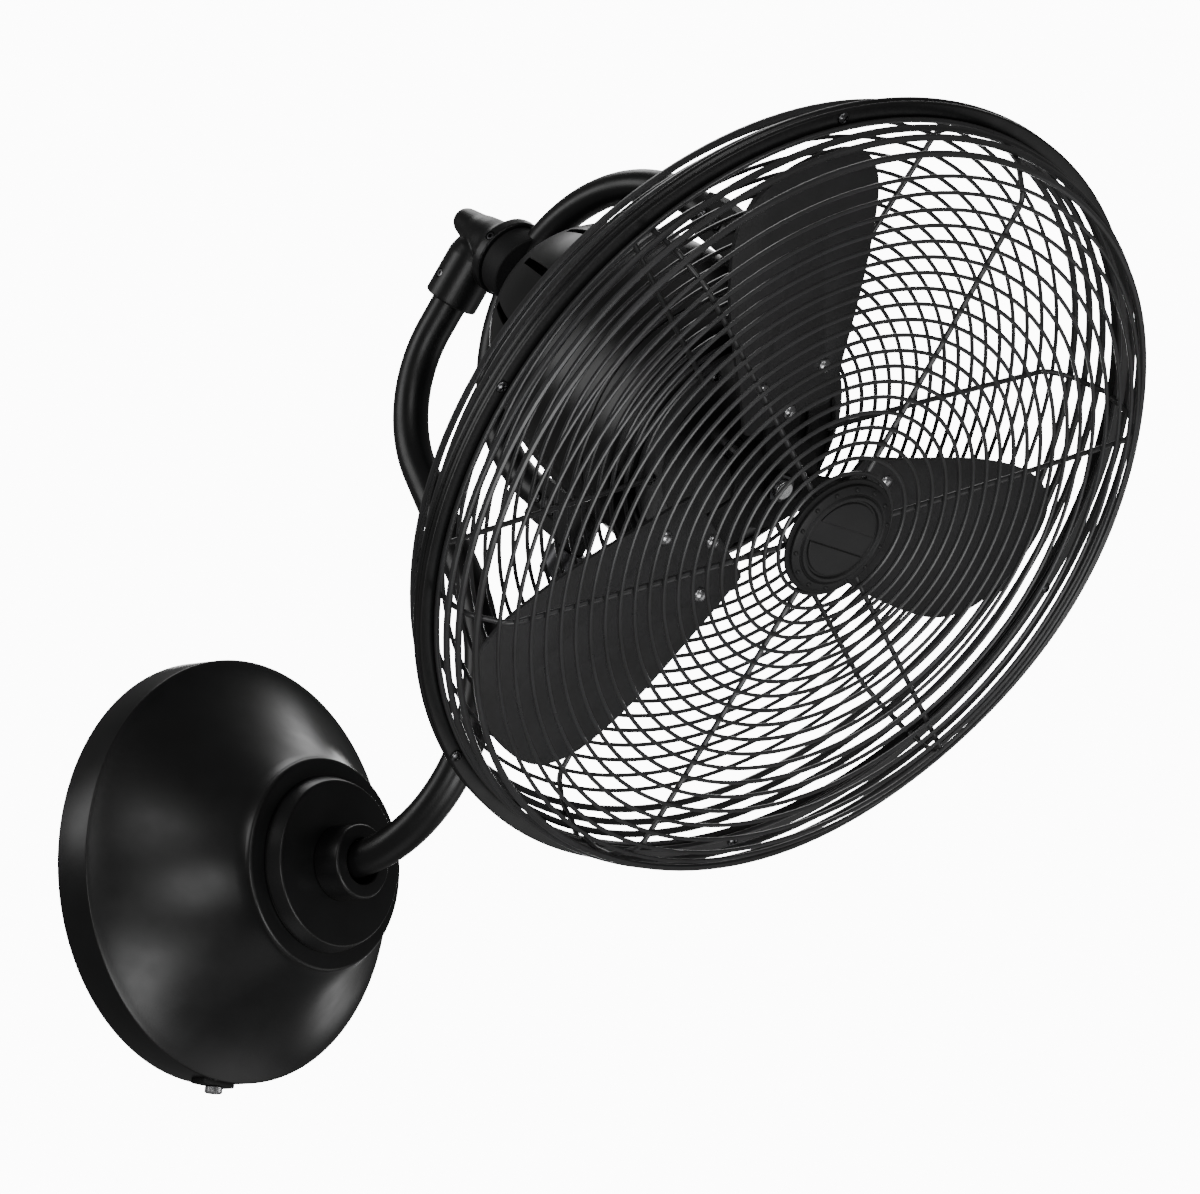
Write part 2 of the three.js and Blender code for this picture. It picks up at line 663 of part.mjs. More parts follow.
function yokeSetScrewPlace(geometry) {
  return along(TO_MINUS_X, geometry)
    .translate(-TEE_FLANGE_R, 0, 0)
    .rotateZ(-YOKE_SET_SCREW_ANGLE * RAD)
    .translate(0, 0, YOKE_SET_SCREW_STATION);
}

const tee = new THREE.Group();
fan.add(tee);
add(tee, "tee_casting", teeCasting(), BLACK);
const armSetScrewLength = SOCKET_R - ARM_R - SEAT;
const yokeSetScrewLength = TEE_FLANGE_R - SPIGOT_R - SEAT;
add(tee, "arm_set_screw", armSetScrewPlace(setScrew(armSetScrewLength)), STEEL);
add(tee, "yoke_set_screw", yokeSetScrewPlace(setScrew(yokeSetScrewLength)), STEEL);

const yokeRoute = bentRoute([
  { point: new THREE.Vector3(0, YOKE_BEND, YOKE_LEG_END) },
  { point: new THREE.Vector3(0, YOKE_BEND, YOKE_BEND_STATION - YOKE_BEND), bend: YOKE_BEND - 0.01 },
  { point: new THREE.Vector3(0, -YOKE_BEND, YOKE_BEND_STATION - YOKE_BEND), bend: YOKE_BEND - 0.01 },
  { point: new THREE.Vector3(0, -YOKE_BEND, YOKE_LEG_END) },
], 9);

function yokeTube() {
  const tube = pipe(yokeRoute, SIDE, YOKE_TUBE_R);
  const bores = [-1, 1].map((side) => {
    const bore = rod(LEG_BORE_R, YOKE_LEG_END - LEG_BORE_DEPTH, YOKE_LEG_END + 1, SMALL);
    return bore.translate(0, side * YOKE_BEND, 0);
  });
  const screwHoles = [-1, 1].flatMap((side) => YOKE_SCREW_STATIONS.map((station) => (
    yokeScrewPlace(rod(YOKE_SCREW_R + RUNNING, -YOKE_TUBE_R, 1), side, station)
  )));
  return cut(tube, ...bores, ...screwHoles);
}

function yokeScrewPlace(geometry, side, station) {
  return along(TO_MINUS_X, geometry).translate(-YOKE_TUBE_R - SEAT, side * YOKE_BEND, station);
}

function yokeHub() {
  const hub = turned([
    [0, YOKE_HUB_BACK - SPIGOT_LENGTH],
    [SPIGOT_R, YOKE_HUB_BACK - SPIGOT_LENGTH],
    [SPIGOT_R, YOKE_HUB_BACK],
    [YOKE_HUB_R, YOKE_HUB_BACK],
    [YOKE_HUB_R, YOKE_HUB_FRONT - 0.8],
    [YOKE_HUB_R - 0.8, YOKE_HUB_FRONT],
    [0, YOKE_HUB_FRONT],
  ], ROUND);
  return cut(hub, pipe(yokeRoute, SIDE, YOKE_TUBE_R + SEAT));
}

// A tongue that plugs into the leg, a fork that grips the leg from outside, and a knuckle in front for
// the pivot bolt.
function yokeEnd(side) {
  const tongueR = LEG_BORE_R - SEAT;
  const tongue = rod(tongueR, YOKE_LEG_END - LEG_BORE_DEPTH + 2, PIVOT_STATION, SMALL);
  tongue.translate(0, side * YOKE_BEND, 0);
  const back = YOKE_LEG_END - YOKE_FORK_LENGTH;
  const block = new THREE.BoxGeometry(2 * KNUCKLE_R, 2 * KNUCKLE_HALF_HEIGHT, PIVOT_STATION - back);
  block.translate(0, side * YOKE_BEND, (PIVOT_STATION + back) / 2);
  const nose = along(TO_PLUS_Y, rod(KNUCKLE_R, -KNUCKLE_HALF_HEIGHT, KNUCKLE_HALF_HEIGHT, ROUND));
  nose.translate(0, side * YOKE_BEND, PIVOT_STATION);
  const socket = rod(YOKE_TUBE_R + SEAT, back - 1, YOKE_LEG_END + SEAT, ROUND);
  socket.translate(0, side * YOKE_BEND, 0);
  const fork = cut(join(block, nose), socket);
  const boreReach = KNUCKLE_HALF_HEIGHT + 1;
  const bore = along(TO_PLUS_Y, rod(PIVOT_R + SEAT, -boreReach, boreReach, SMALL));
  bore.translate(0, side * YOKE_BEND, PIVOT_STATION);
  const holes = YOKE_SCREW_STATIONS.map((station) => (
    yokeScrewPlace(rod(YOKE_SCREW_R + RUNNING, -YOKE_TUBE_R - 3, 1), side, station)
  ));
  return cut(join(tongue, fork), bore, ...holes);
}

// A bolt whose head is a round grip.
function gripBolt() {
  return turned([
    [0, -PIVOT_LENGTH],
    [PIVOT_R, -PIVOT_LENGTH],
    [PIVOT_R, 0],
    [PIVOT_HEAD_R, 0],
    [PIVOT_HEAD_R, PIVOT_HEAD_HEIGHT - PIVOT_HEAD_EDGE],
    [PIVOT_HEAD_R - PIVOT_HEAD_EDGE, PIVOT_HEAD_HEIGHT],
    [0, PIVOT_HEAD_HEIGHT],
  ], ROUND);
}

const yoke = new THREE.Group();
fan.add(yoke);
add(yoke, "yoke_hub", yokeHub(), MATTE);
add(yoke, "yoke_tube", yokeTube(), BLACK);
const SIDES = { upper: 1, lower: -1 };
for (const [word, side] of Object.entries(SIDES)) {
  add(yoke, `${word}_yoke_end`, yokeEnd(side), BLACK);
  YOKE_SCREW_STATIONS.forEach((station, i) => {
    const pan = screw(YOKE_SCREW_R, YOKE_SCREW_HEAD_R, 2, YOKE_TUBE_R);
    add(yoke, `${word}_yoke_screw_${i + 1}`, yokeScrewPlace(pan, side, station), STEEL);
  });
  const pivot = add(yoke, `${word}_pivot_bolt`, gripBolt(), DARK_STEEL);
  pivot.rotation.x = -side * (Math.PI / 2);
  pivot.position.set(0, side * (YOKE_BEND + KNUCKLE_HALF_HEIGHT + SEAT), PIVOT_STATION);
}

// ---- Motor -------------------------------------------------------------------------------------

const head = new THREE.Group();
fan.add(head);

function domeRadius(station, inset = 0) {
  const t = (station - DOME_CENTRE) / (DOME_LENGTH - inset);
  return DOME_BACK_R - inset + (MOTOR_R - DOME_BACK_R) * Math.sqrt(Math.max(0, 1 - t * t));
}

function domeProfile(inset, steps) {
  const points = [];
  const back = DOME_CENTRE - (DOME_LENGTH - inset);
  for (let k = 0; k <= steps; k++) {
    // Even steps in angle keep the facets even where the dome turns in.
    const station = DOME_CENTRE + (back - DOME_CENTRE) * Math.cos((k / steps) * (Math.PI / 2));
    points.push([domeRadius(station, inset), station]);
  }
  return points;
}

const coverBack = SEAM_STATION + SEAT;
const domeBack = DOME_CENTRE - DOME_LENGTH;
const rearSeatFront = REAR_BEARING_STATION + BEARING_WIDTH / 2;
const frontSeatBack = FRONT_BEARING_STATION - BEARING_WIDTH / 2;
const frontSeatFront = FRONT_BEARING_STATION + BEARING_WIDTH / 2 + SEAT;
const bearingSeatR = BEARING_R + SEAT;

function pivotPlace(geometry, side) {
  return along(side > 0 ? TO_PLUS_Y : TO_MINUS_Y, geometry).translate(0, 0, PIVOT_STATION);
}

function motorHousing() {
  const outer = domeProfile(0, 7);
  const inner = domeProfile(MOTOR_WALL, 4).reverse();
  const shell = turned([
    [0, outer[0][1]],
    ...outer,
    [MOTOR_R, SEAM_STATION],
    [MOTOR_R - MOTOR_WALL, SEAM_STATION],
    ...inner,
    [0, inner[inner.length - 1][1]],
  ], FINE);
  const seat = washer(bearingSeatR, BEARING_HOUSING_R, domeBack + MOTOR_WALL / 2, rearSeatFront);
  const ears = Object.values(SIDES).map((side) => pivotPlace(rod(EAR_R, EAR_FOOT, EAR_TOP, ROUND), side));
  const bores = Object.values(SIDES).map((side) => (
    pivotPlace(rod(PIVOT_R + RUNNING, EAR_FOOT - 1, EAR_TOP + 1, ROUND), side)
  ));
  const ventOuter = MOTOR_R + 1;
  const vents = [];
  repeated(VENT_COUNT, VENT_PHASE, (k, angle) => {
    const vent = new THREE.BoxGeometry(VENT_WIDTH, ventOuter - VENT_INNER_R, VENT_LENGTH);
    vent.translate(0, (ventOuter + VENT_INNER_R) / 2, VENT_STATION);
    vents.push(vent.rotateZ(-angle * RAD));
  });
  return cut(join(shell, seat, ...ears), ...bores, ...vents);
}

function motorCover() {
  const shaftHole = SHAFT_R + 1;
  const inside = COVER_FACE - MOTOR_WALL;
  const profile = [
    [MOTOR_R - MOTOR_WALL, coverBack],
    [MOTOR_R, coverBack],
    [MOTOR_R, COVER_SHOULDER],
    [COVER_FACE_R + 1, COVER_FACE - 0.8],
    [COVER_FACE_R - 1, COVER_FACE],
    [shaftHole, COVER_FACE],
    [shaftHole, frontSeatFront],
    [bearingSeatR, frontSeatFront],
    [bearingSeatR, frontSeatBack],
    [BEARING_HOUSING_R, frontSeatBack],
    [BEARING_HOUSING_R, inside],
    [COVER_FACE_R - MOTOR_WALL, inside],
    [MOTOR_R - MOTOR_WALL, COVER_SHOULDER - 1],
  ];
  const holes = [];
  repeated(GRILLE_SCREW_COUNT, GRILLE_SCREW_PHASE, (k, angle) => {
    const hole = rod(GRILLE_SCREW_R + RUNNING, inside - 1, COVER_FACE + 1);
    holes.push(hole.translate(...spoke(angle, GRILLE_SCREW_CIRCLE_R, 0).toArray()));
  });
  return cut(turnedRing(profile, FINE), ...holes);
}

add(head, "motor_housing", motorHousing(), BLACK);
add(head, "motor_cover", motorCover(), BLACK);
const statorR = MOTOR_R - MOTOR_WALL - SEAT;
add(head, "stator", washer(ROTOR_R + AIR_GAP, statorR, CORE_BACK, CORE_FRONT, FINE), COPPER);
for (const [word, station] of [["rear", REAR_BEARING_STATION], ["front", FRONT_BEARING_STATION]]) {
  const half = BEARING_WIDTH / 2;
  const race = washer(SHAFT_R + RUNNING, BEARING_R, station - half, station + half);
  add(head, `${word}_bearing`, race, STEEL);
}

// ---- Guard -------------------------------------------------------------------------------------

const faceBack = GUARD_FACE - GUARD_SHEET;
const rimStation = faceBack - SEAT - SPOKE_R;
const seatStation = GUARD_FACE + SEAT + SPOKE_R;
const plateBack = COVER_FACE + SEAT;
const plateFront = plateBack + GRILLE_PLATE_THICKNESS;

const hoopFacets = (r) => (r < FACE_REACH / 2 ? SMALL_HOOP : HOOP);
const frontAt = (r) => FRONT_STATION + FRONT_CROWN * (1 - (r / FACE_REACH) ** 2);
const rearAt = (r) => REAR_STATION - REAR_DISH * (1 - (r / FACE_REACH) ** 2);

function rings(count, first, stationAt) {
  const pitch = (LAST_RING_R - first) / (count - 1);
  return Array.from({ length: count }, (_, k) => {
    const r = first + k * pitch;
    return [r, stationAt(r)];
  });
}

// One bent wire from near the axis out over the rings, and a copy of it for each spoke.
function spokes(profile) {
  const wires = [];
  repeated(SPOKE_COUNT, 0, (k, angle) => {
    const points = profile.map(([r, station]) => spoke(angle, r, station));
    const side = new THREE.Vector3(Math.cos(angle * RAD), -Math.sin(angle * RAD), 0);
    wires.push(pipe(points, side, SPOKE_R, 0, 3));
  });
  return wires;
}

function frontGrille() {
  const face = rings(FRONT_RINGS, FRONT_FIRST_RING_R, frontAt);
  const seat = [FRONT_SEAT_R, seatStation];
  const flat = [face[0], face[FRONT_RINGS - 1]];
  const profile = [[FRONT_DISC_R - 6, frontAt(0)], ...flat, FRONT_SHOULDER, ...FRONT_HOOPS, seat];
  const discBack = frontAt(0) - 1.2;
  const disc = rod(FRONT_DISC_R, discBack, discBack + 2.4, ROUND);
  const hoops = [...face, ...FRONT_HOOPS].map(([r, station]) => hoop(r, station, hoopFacets(r)));
  return join(disc, ...hoops, hoop(...seat, HOOP, SPOKE_R), ...spokes(profile));
}

function rearGrille() {
  const face = rings(REAR_RINGS, REAR_FIRST_RING_R, rearAt);
  const rim = [REAR_RIM_R, rimStation];
  const bend = [REAR_RIM_R, rimStation - REAR_RIM_DROP];
  const start = GRILLE_PLATE_R - 4;
  const flat = [face[0], face[REAR_RINGS - 1]];
  const profile = [[start, rearAt(start)], ...flat, REAR_SHOULDER, ...REAR_HOOPS, bend, rim];
  const plate = washer(GRILLE_PLATE_INNER_R, GRILLE_PLATE_R, plateBack, plateFront, ROUND);
  const hoops = [...face, ...REAR_HOOPS].map(([r, station]) => hoop(r, station, hoopFacets(r)));
  const lugs = [];
  const holes = [];
  const lugInner = REAR_RIM_R - 1;
  const lugOuter = GUARD_R - GUARD_SHEET - 1;
  repeated(SPOKE_COUNT, GUARD_SCREW_PHASE, (k, angle) => {
    const lug = new THREE.BoxGeometry(LUG_WIDTH, lugOuter - lugInner, LUG_THICKNESS);
    lug.translate(0, (lugInner + lugOuter) / 2, rimStation).rotateZ(-angle * RAD);
    lugs.push(lug);
    const hole = rod(GUARD_SCREW_R + RUNNING, rimStation - 5, rimStation + 5);
    holes.push(hole.translate(...spoke(angle, GUARD_SCREW_CIRCLE_R, 0).toArray()));
  });
  repeated(GRILLE_SCREW_COUNT, GRILLE_SCREW_PHASE, (k, angle) => {
    const hole = rod(GRILLE_SCREW_R + RUNNING, plateBack - 1, plateFront + 1);
    holes.push(hole.translate(...spoke(angle, GRILLE_SCREW_CIRCLE_R, 0).toArray()));
  });
  const wires = [...hoops, hoop(...rim, FINEST, SPOKE_R), ...spokes(profile)];
  return cut(join(plate, ...wires, ...lugs), ...holes);
}

function guardRing() {
  const wallBack = GUARD_FACE - GUARD_WALL_DEPTH;
  const lipBack = GUARD_FACE - GUARD_LIP_DEPTH;
  const profile = [
    [GUARD_INNER_R, lipBack],
    [GUARD_INNER_R, GUARD_FACE],
    [GUARD_R - 0.8, GUARD_FACE],
    [GUARD_R, GUARD_FACE - 0.8],
    [GUARD_R, wallBack],
    [GUARD_R - GUARD_SHEET, wallBack],
    [GUARD_R - GUARD_SHEET, faceBack],
    [GUARD_INNER_R + GUARD_SHEET, faceBack],
    [GUARD_INNER_R + GUARD_SHEET, lipBack],
  ];
  const holes = [];
  repeated(SPOKE_COUNT, GUARD_SCREW_PHASE, (k, angle) => {
    const hole = rod(GUARD_SCREW_R + RUNNING, faceBack - 1, GUARD_FACE + 1);
    holes.push(hole.translate(...spoke(angle, GUARD_SCREW_CIRCLE_R, 0).toArray()));
  });
  return cut(turnedRing(profile, FINEST), ...holes);
}

function badge() {
  const back = frontAt(0) + SPOKE_R + SEAT;
  const middle = back + BADGE_THICKNESS / 2;
  const front = back + BADGE_THICKNESS;
  return turned([
    [0, back],
    [BADGE_PLATE_R, back],
    [BADGE_PLATE_R, middle],
    [BADGE_R, middle],
    [BADGE_R, front + 1],
    [BADGE_R - 1, front + 1.6],
    [BADGE_R - BADGE_RIM, front + 1.6],
    [BADGE_R - BADGE_RIM - 1, front],
    [0, front],
  ], FINE);
}

add(head, "rear_grille", rearGrille(), BLACK);
add(head, "guard_ring", guardRing(), BLACK);
add(head, "front_grille", frontGrille(), BLACK);
add(head, "badge", badge(), BLACK);
repeated(SPOKE_COUNT, GUARD_SCREW_PHASE, (k, angle) => {
  const pan = screw(GUARD_SCREW_R, GUARD_SCREW_HEAD_R, 1.8, -rimStation + LUG_THICKNESS);
  const fixing = add(head, `guard_screw_${k}`, pan, STEEL);
  fixing.position.copy(spoke(angle, GUARD_SCREW_CIRCLE_R, GUARD_FACE + SEAT));
});
repeated(GRILLE_SCREW_COUNT, GRILLE_SCREW_PHASE, (k, angle) => {
  const pan = screw(GRILLE_SCREW_R, GRILLE_SCREW_HEAD_R, 2, GRILLE_PLATE_THICKNESS + MOTOR_WALL + 2);
  const fixing = add(head, `grille_screw_${k}`, pan, STEEL);
  fixing.position.copy(spoke(angle, GRILLE_SCREW_CIRCLE_R, plateFront + SEAT));
});

// ---- What spins --------------------------------------------------------------------------------

const rotor = new THREE.Group();
fan.add(rotor);

const shaftFit = SHAFT_R + SEAT;
const bladeBack = -BLADE_THICKNESS / 2;
const armFront = bladeBack - SEAT;
const spiderFront = BLADE_STATION + armFront - 1;
const spiderBack = spiderFront - SPIDER_THICKNESS;
const bladeScrews = [
  [BLADE_SCREW_IN, 0],
  [BLADE_SCREW_OUT, -BLADE_SCREW_SPREAD],
  [BLADE_SCREW_OUT, BLADE_SCREW_SPREAD],
];

// Blade axes: x out along the blade, y across it against the clock, z to the front.
function onBlade(geometry, angle) {
  return geometry
    .rotateX(BLADE_PITCH * RAD)
    .rotateZ((90 - angle) * RAD)
    .translate(0, 0, BLADE_STATION);
}

function bladeShape() {
  const shape = new THREE.Shape();
  const shoulder = BLADE_ROOT + 4;
  shape.moveTo(BLADE_ROOT, -BLADE_ROOT_HALF + 4);
  shape.quadraticCurveTo(BLADE_ROOT, -BLADE_ROOT_HALF, shoulder, -BLADE_ROOT_HALF);
  shape.bezierCurveTo(
    shoulder + BLADE_WAIST_REACH, -BLADE_ROOT_HALF - BLADE_TRAILING_SWELL,
    BLADE_BELLY - BLADE_BELLY_REACH, -BLADE_TRAILING_HALF,
    BLADE_BELLY, -BLADE_TRAILING_HALF,
  );
  shape.bezierCurveTo(
    BLADE_TIP - 12, -BLADE_TRAILING_HALF,
    BLADE_TIP, -BLADE_TRAILING_HALF + BLADE_CORNER / 2,
    BLADE_TIP, 0,
  );
  shape.bezierCurveTo(
    BLADE_TIP, BLADE_LEADING_HALF - BLADE_CORNER / 2,
    BLADE_TIP - 14, BLADE_LEADING_HALF,
    BLADE_BELLY, BLADE_LEADING_HALF,
  );
  shape.bezierCurveTo(
    BLADE_BELLY - BLADE_BELLY_REACH, BLADE_LEADING_HALF,
    shoulder + BLADE_WAIST_REACH, BLADE_ROOT_HALF + BLADE_LEADING_SWELL,
    shoulder, BLADE_ROOT_HALF,
  );
  shape.quadraticCurveTo(BLADE_ROOT, BLADE_ROOT_HALF, BLADE_ROOT, BLADE_ROOT_HALF - 4);
  shape.closePath();
  bladeScrews.forEach(([out, across]) => {
    shape.holes.push(new THREE.Path().absarc(out, across, BLADE_SCREW_R + RUNNING, 0, FULL_TURN, true));
  });
  return shape;
}

function blade() {
  const options = { depth: BLADE_THICKNESS, bevelEnabled: false, curveSegments: 5 };
  return new THREE.ExtrudeGeometry(bladeShape(), options).translate(0, 0, bladeBack);
}

function spiderArm() {
  const shape = new THREE.Shape();
  const outline = [
    [SPIDER_HUB_R - 8, SPIDER_ARM_HALF],
    [SPIDER_ARM_NECK, SPIDER_ARM_HALF + 3],
    [SPIDER_ARM_REACH - 19, SPIDER_PAD_HALF],
    [SPIDER_ARM_REACH, SPIDER_PAD_HALF],
  ];
  shape.moveTo(outline[0][0], -outline[0][1]);
  outline.slice(1).forEach(([x, y]) => shape.lineTo(x, -y));
  [...outline].reverse().forEach(([x, y]) => shape.lineTo(x, y));
  shape.closePath();
  bladeScrews.forEach(([out, across]) => {
    shape.holes.push(new THREE.Path().absarc(out, across, BLADE_SCREW_R + RUNNING, 0, FULL_TURN, true));
  });
  const options = { depth: SPIDER_THICKNESS, bevelEnabled: false, curveSegments: 5 };
  return new THREE.ExtrudeGeometry(shape, options).translate(0, 0, armFront - SPIDER_THICKNESS);
}

function bladeSpider() {
  const hub = turnedRing([
    [shaftFit, spiderBack - SPIDER_BOSS_LENGTH],
    [SPIDER_BOSS_R, spiderBack - SPIDER_BOSS_LENGTH],
    [SPIDER_BOSS_R, spiderBack - 2],
    [SPIDER_HUB_R, spiderBack],
    [SPIDER_HUB_R, spiderFront],
    [shaftFit, spiderFront],
  ], ROUND);
  const arms = [];
  repeated(BLADE_COUNT, BLADE_PHASE, (k, angle) => arms.push(onBlade(spiderArm(), angle)));
  return join(hub, ...arms);
}

add(rotor, "motor_shaft", rod(SHAFT_R, SHAFT_BACK, SHAFT_FRONT, ROUND), STEEL);
add(rotor, "motor_rotor", washer(shaftFit, ROTOR_R, CORE_BACK, CORE_FRONT), DARK_STEEL);
add(rotor, "blade_spider", bladeSpider(), DARK_STEEL);
const hubNut = add(rotor, "hub_nut", hexagon(HUB_NUT_R, shaftFit, HUB_NUT_HEIGHT), STEEL);
hubNut.position.z = spiderFront + SEAT;
repeated(BLADE_COUNT, BLADE_PHASE, (k, angle) => {
  add(rotor, `blade_${k}`, onBlade(blade(), angle), MATTE);
  bladeScrews.forEach(([out, across], i) => {
    const length = BLADE_THICKNESS + SPIDER_THICKNESS + 1.5;
    const dome = screw(BLADE_SCREW_R, BLADE_SCREW_HEAD_R, 2.4, length);
    dome.translate(out, across, BLADE_THICKNESS / 2 + SEAT);
    add(rotor, `blade_${k}_screw_${i + 1}`, onBlade(dome, angle), STEEL);
  });
});

export default root;
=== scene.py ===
import json
import math
import bmesh
import bpy
from mathutils import Matrix, Vector


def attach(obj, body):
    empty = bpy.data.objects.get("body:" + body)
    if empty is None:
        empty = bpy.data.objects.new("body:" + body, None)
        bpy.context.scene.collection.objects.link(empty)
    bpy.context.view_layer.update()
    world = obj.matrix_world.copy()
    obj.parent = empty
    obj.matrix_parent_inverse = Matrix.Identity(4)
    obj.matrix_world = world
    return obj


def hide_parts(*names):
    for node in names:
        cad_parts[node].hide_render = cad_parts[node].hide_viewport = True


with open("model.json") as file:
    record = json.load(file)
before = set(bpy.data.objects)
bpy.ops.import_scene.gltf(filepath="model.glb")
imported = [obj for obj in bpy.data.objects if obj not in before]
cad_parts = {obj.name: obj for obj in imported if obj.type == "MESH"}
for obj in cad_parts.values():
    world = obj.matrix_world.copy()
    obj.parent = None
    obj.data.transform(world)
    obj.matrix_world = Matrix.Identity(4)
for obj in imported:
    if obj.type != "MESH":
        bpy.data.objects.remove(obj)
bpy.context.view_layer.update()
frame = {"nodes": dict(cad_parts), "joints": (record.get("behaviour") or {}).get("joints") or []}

MM = 0.001
JOINTS = {joint["name"]: joint for joint in frame["joints"]}
SIDE = Vector((1, 0, 0))
FAN_AXIS = Vector(JOINTS["spin"]["axis"]).normalized()
FAN_UP = Vector(JOINTS["swivel"]["axis"]).normalized()
FAN_CENTRE = Vector(JOINTS["spin"]["pos_m"])


def frame_at(origin, x, y, z):
    columns = Matrix((x, y, z)).transposed().to_4x4()
    return Matrix.Translation(origin) @ columns @ Matrix.Scale(MM, 4)


FAN = frame_at(FAN_CENTRE, SIDE, FAN_UP, FAN_AXIS)
WALL = frame_at(Vector((0, 0, 0)), SIDE, Vector((0, 0, 1)), Vector((0, -1, 0)))
WORLD = Matrix.Scale(MM, 4)

SEAT = 0.3  # between fixed pieces
RUNNING = 0.35  # round a piece that turns or a screw

# Canopy and arm.
CANOPY_R = 125
CANOPY_WALL = 1.6
CANOPY_HEIGHT = 95
RIM_HEIGHT = 24
BELL_TOP_R = 63.5
FLANGE_BACK = 95.3
FLANGE_FRONT = 106
FLANGE_BASE_R = 51.5
FLANGE_TOP_R = 48.5
COLLAR_BACK = 106.3
COLLAR_FRONT = 125
COLLAR_R = 21.8
COLLAR_MOUTH_R = 13.2
THUMB_OUT = 17
THUMB_R = 5.3
THUMB_HEIGHT = 4
THUMB_SHANK_R = 2.4
THUMB_LENGTH = 17
THUMB_TEETH = 28
PAD_WIDTH = 25
PAD_THICKNESS = 2.4
ARM_R = 10.5
ARM_START = (-79.4, 0)  # y and z, as for the corners below
ARM_LOW_CORNER = (-294.7, 0)
ARM_HIGH_CORNER = (-117.1, 273.9)
ARM_LOW_BEND = 103.5
ARM_HIGH_BEND = 77.5
TEE_RISE = 114.1

# Tee and yoke: stations along the fan's axis.
TEE = -307
SOCKET_R = 16.2
SOCKET_RIM = -43
TEE_FLANGE_BACK = -286.3
TEE_FLANGE_FRONT = -279.3
TEE_FLANGE_R = 24
HORN_TIP = -335.5
SPIGOT_R = 8
SPIGOT_LENGTH = 24
SET_SCREW_R = 2.4
ARM_SET_SCREW = -30
ARM_SET_SCREW_ANGLE = -14
YOKE_SET_SCREW_ANGLE = -21
YOKE_SET_SCREW = -283
YOKE_TUBE_R = 9.3
YOKE_BEND = 95
YOKE_BEND_STATION = -173.5
YOKE_LEG_END = -137
YOKE_HUB_R = 22
YOKE_HUB_BACK = -279
YOKE_HUB_FRONT = -264
YOKE_SCREWS = (-158.5, -143.5)
PIVOT_STATION = -124
KNUCKLE_R = 8.3
KNUCKLE_HALF_HEIGHT = 12.4
FORK_BACK = -162
PIVOT_R = 4
PIVOT_LENGTH = 32
PIVOT_HEAD_R = 10.5
PIVOT_HEAD_HEIGHT = 18

# Motor.
MOTOR_R = 80.4
MOTOR_WALL = 2.2
DOME_SHEET = 1.2
DOME_BACK_R = 14.4
DOME_CENTRE = -125.4
DOME_LENGTH = 119.6
SEAM = -87
COVER_SHOULDER = -62
COVER_FACE = -54.5
COVER_FACE_R = 70
COVER_HOLE_R = 7
BEARING_SEAT_R = 13.3
BEARING_BOSS_R = 17
BEARING_SEAT_BACK = -76.5
BEARING_SEAT_FRONT = -67.2
VENT_COUNT = 12
VENT_PHASE = 20
VENT_HALF_ANGLE = 2.2
VENT_BACK = -215
VENT_FRONT = -178
VENT_GAP_STEPS = 9
EAR_R = 9
EAR_FOOT = 73
EAR_TOP = 81.8

# Guard.
RING_WIRE = 1.2
SPOKE_WIRE = 1.6
HOOP_WIRE = 2.0
RING_PITCH = 9.45
SPOKE_COUNT = 6
FLAT_REACH = 200
FRONT_FLAT = 40
FRONT_CROWN = 2.5
FRONT_FIRST_RING = 38
FRONT_RINGS = 18
REAR_FLAT = -46.5
REAR_DISH = 5
REAR_FIRST_RING = 66.4
REAR_RINGS = 15
FRONT_SHOULDER = [(208, 38.6), (216, 34.6)]
FRONT_HOOPS = [(225.4, 27), (230, 17), (231.2, 8)]
REAR_SHOULDER = [(209, -46.4), (217, -43)]
REAR_HOOPS = [(225, -35.5), (227, -25.5), (229, -16.4)]
FRONT_SEAT = (231.2, -2.2)
REAR_RIM = (233.7, -7.3)
GUARD_R = 240.5
GUARD_INNER_R = 230
GUARD_FACE = -4
GUARD_BACK = -12
GUARD_SHEET = 1.5
GROOVE = -8.2
GUARD_SCREW_CIRCLE = 236.5
GUARD_SCREW_PHASE = 31.5
PLATE_INNER_R = 50
PLATE_R = 67
PLATE_BACK = -54.2
PLATE_FRONT = -52.2
GRILLE_SCREWS = 5
GRILLE_SCREW_PHASE = 21
GRILLE_SCREW_CIRCLE = 58
HOOP_WAVE = 0.5
BOSS_R = 30
BOSS_BACK = 40.6
BOSS_FRONT = 43.2
LUG_HALF_WIDTH = 5.5
LUG_INNER = 232.6
LUG_OUTER = 238
LUG_BACK = -8.3
LUG_FRONT = -6.3

# Badge.
BADGE_BACK = 44.5
BADGE_PLATE_R = 36
BADGE_R = 33
BADGE_STUDS = 14
STUD_CIRCLE = 30.8
PANEL_R = 22.8
BAR_HALF_WIDTH = 6.2

# Blades.
BLADE_ANGLES = (90, 210, 330)
BLADE_STATION = -11.5
BLADE_PITCH = 8.7
BLADE_THICKNESS = 2.6
BLADE_ROOT = 44
BLADE_TIP = 212
BLADE_ROOT_HALF = 34
BLADE_BELLY = 165
BLADE_LEADING_HALF = 57
BLADE_TRAILING_HALF = 50
BLADE_CORNER = 42
BLADE_CREASE = 38
BLADE_BEND = 9
BLADE_SCREWS = ((49, 0), (70.6, -23.6), (70.6, 23.6))  # out along the blade and across it
SPIDER_ARM = [(21, 11), (44, 14), (60, 31), (79, 31)]  # distance out and half width
SHAFT_R = 6
SHAFT_BACK = -228
SHAFT_FRONT = -5


# ---- Mesh tools ---------------------------------------------------------------------------------


SHARP = 38  # degrees; an edge past this stays a crease


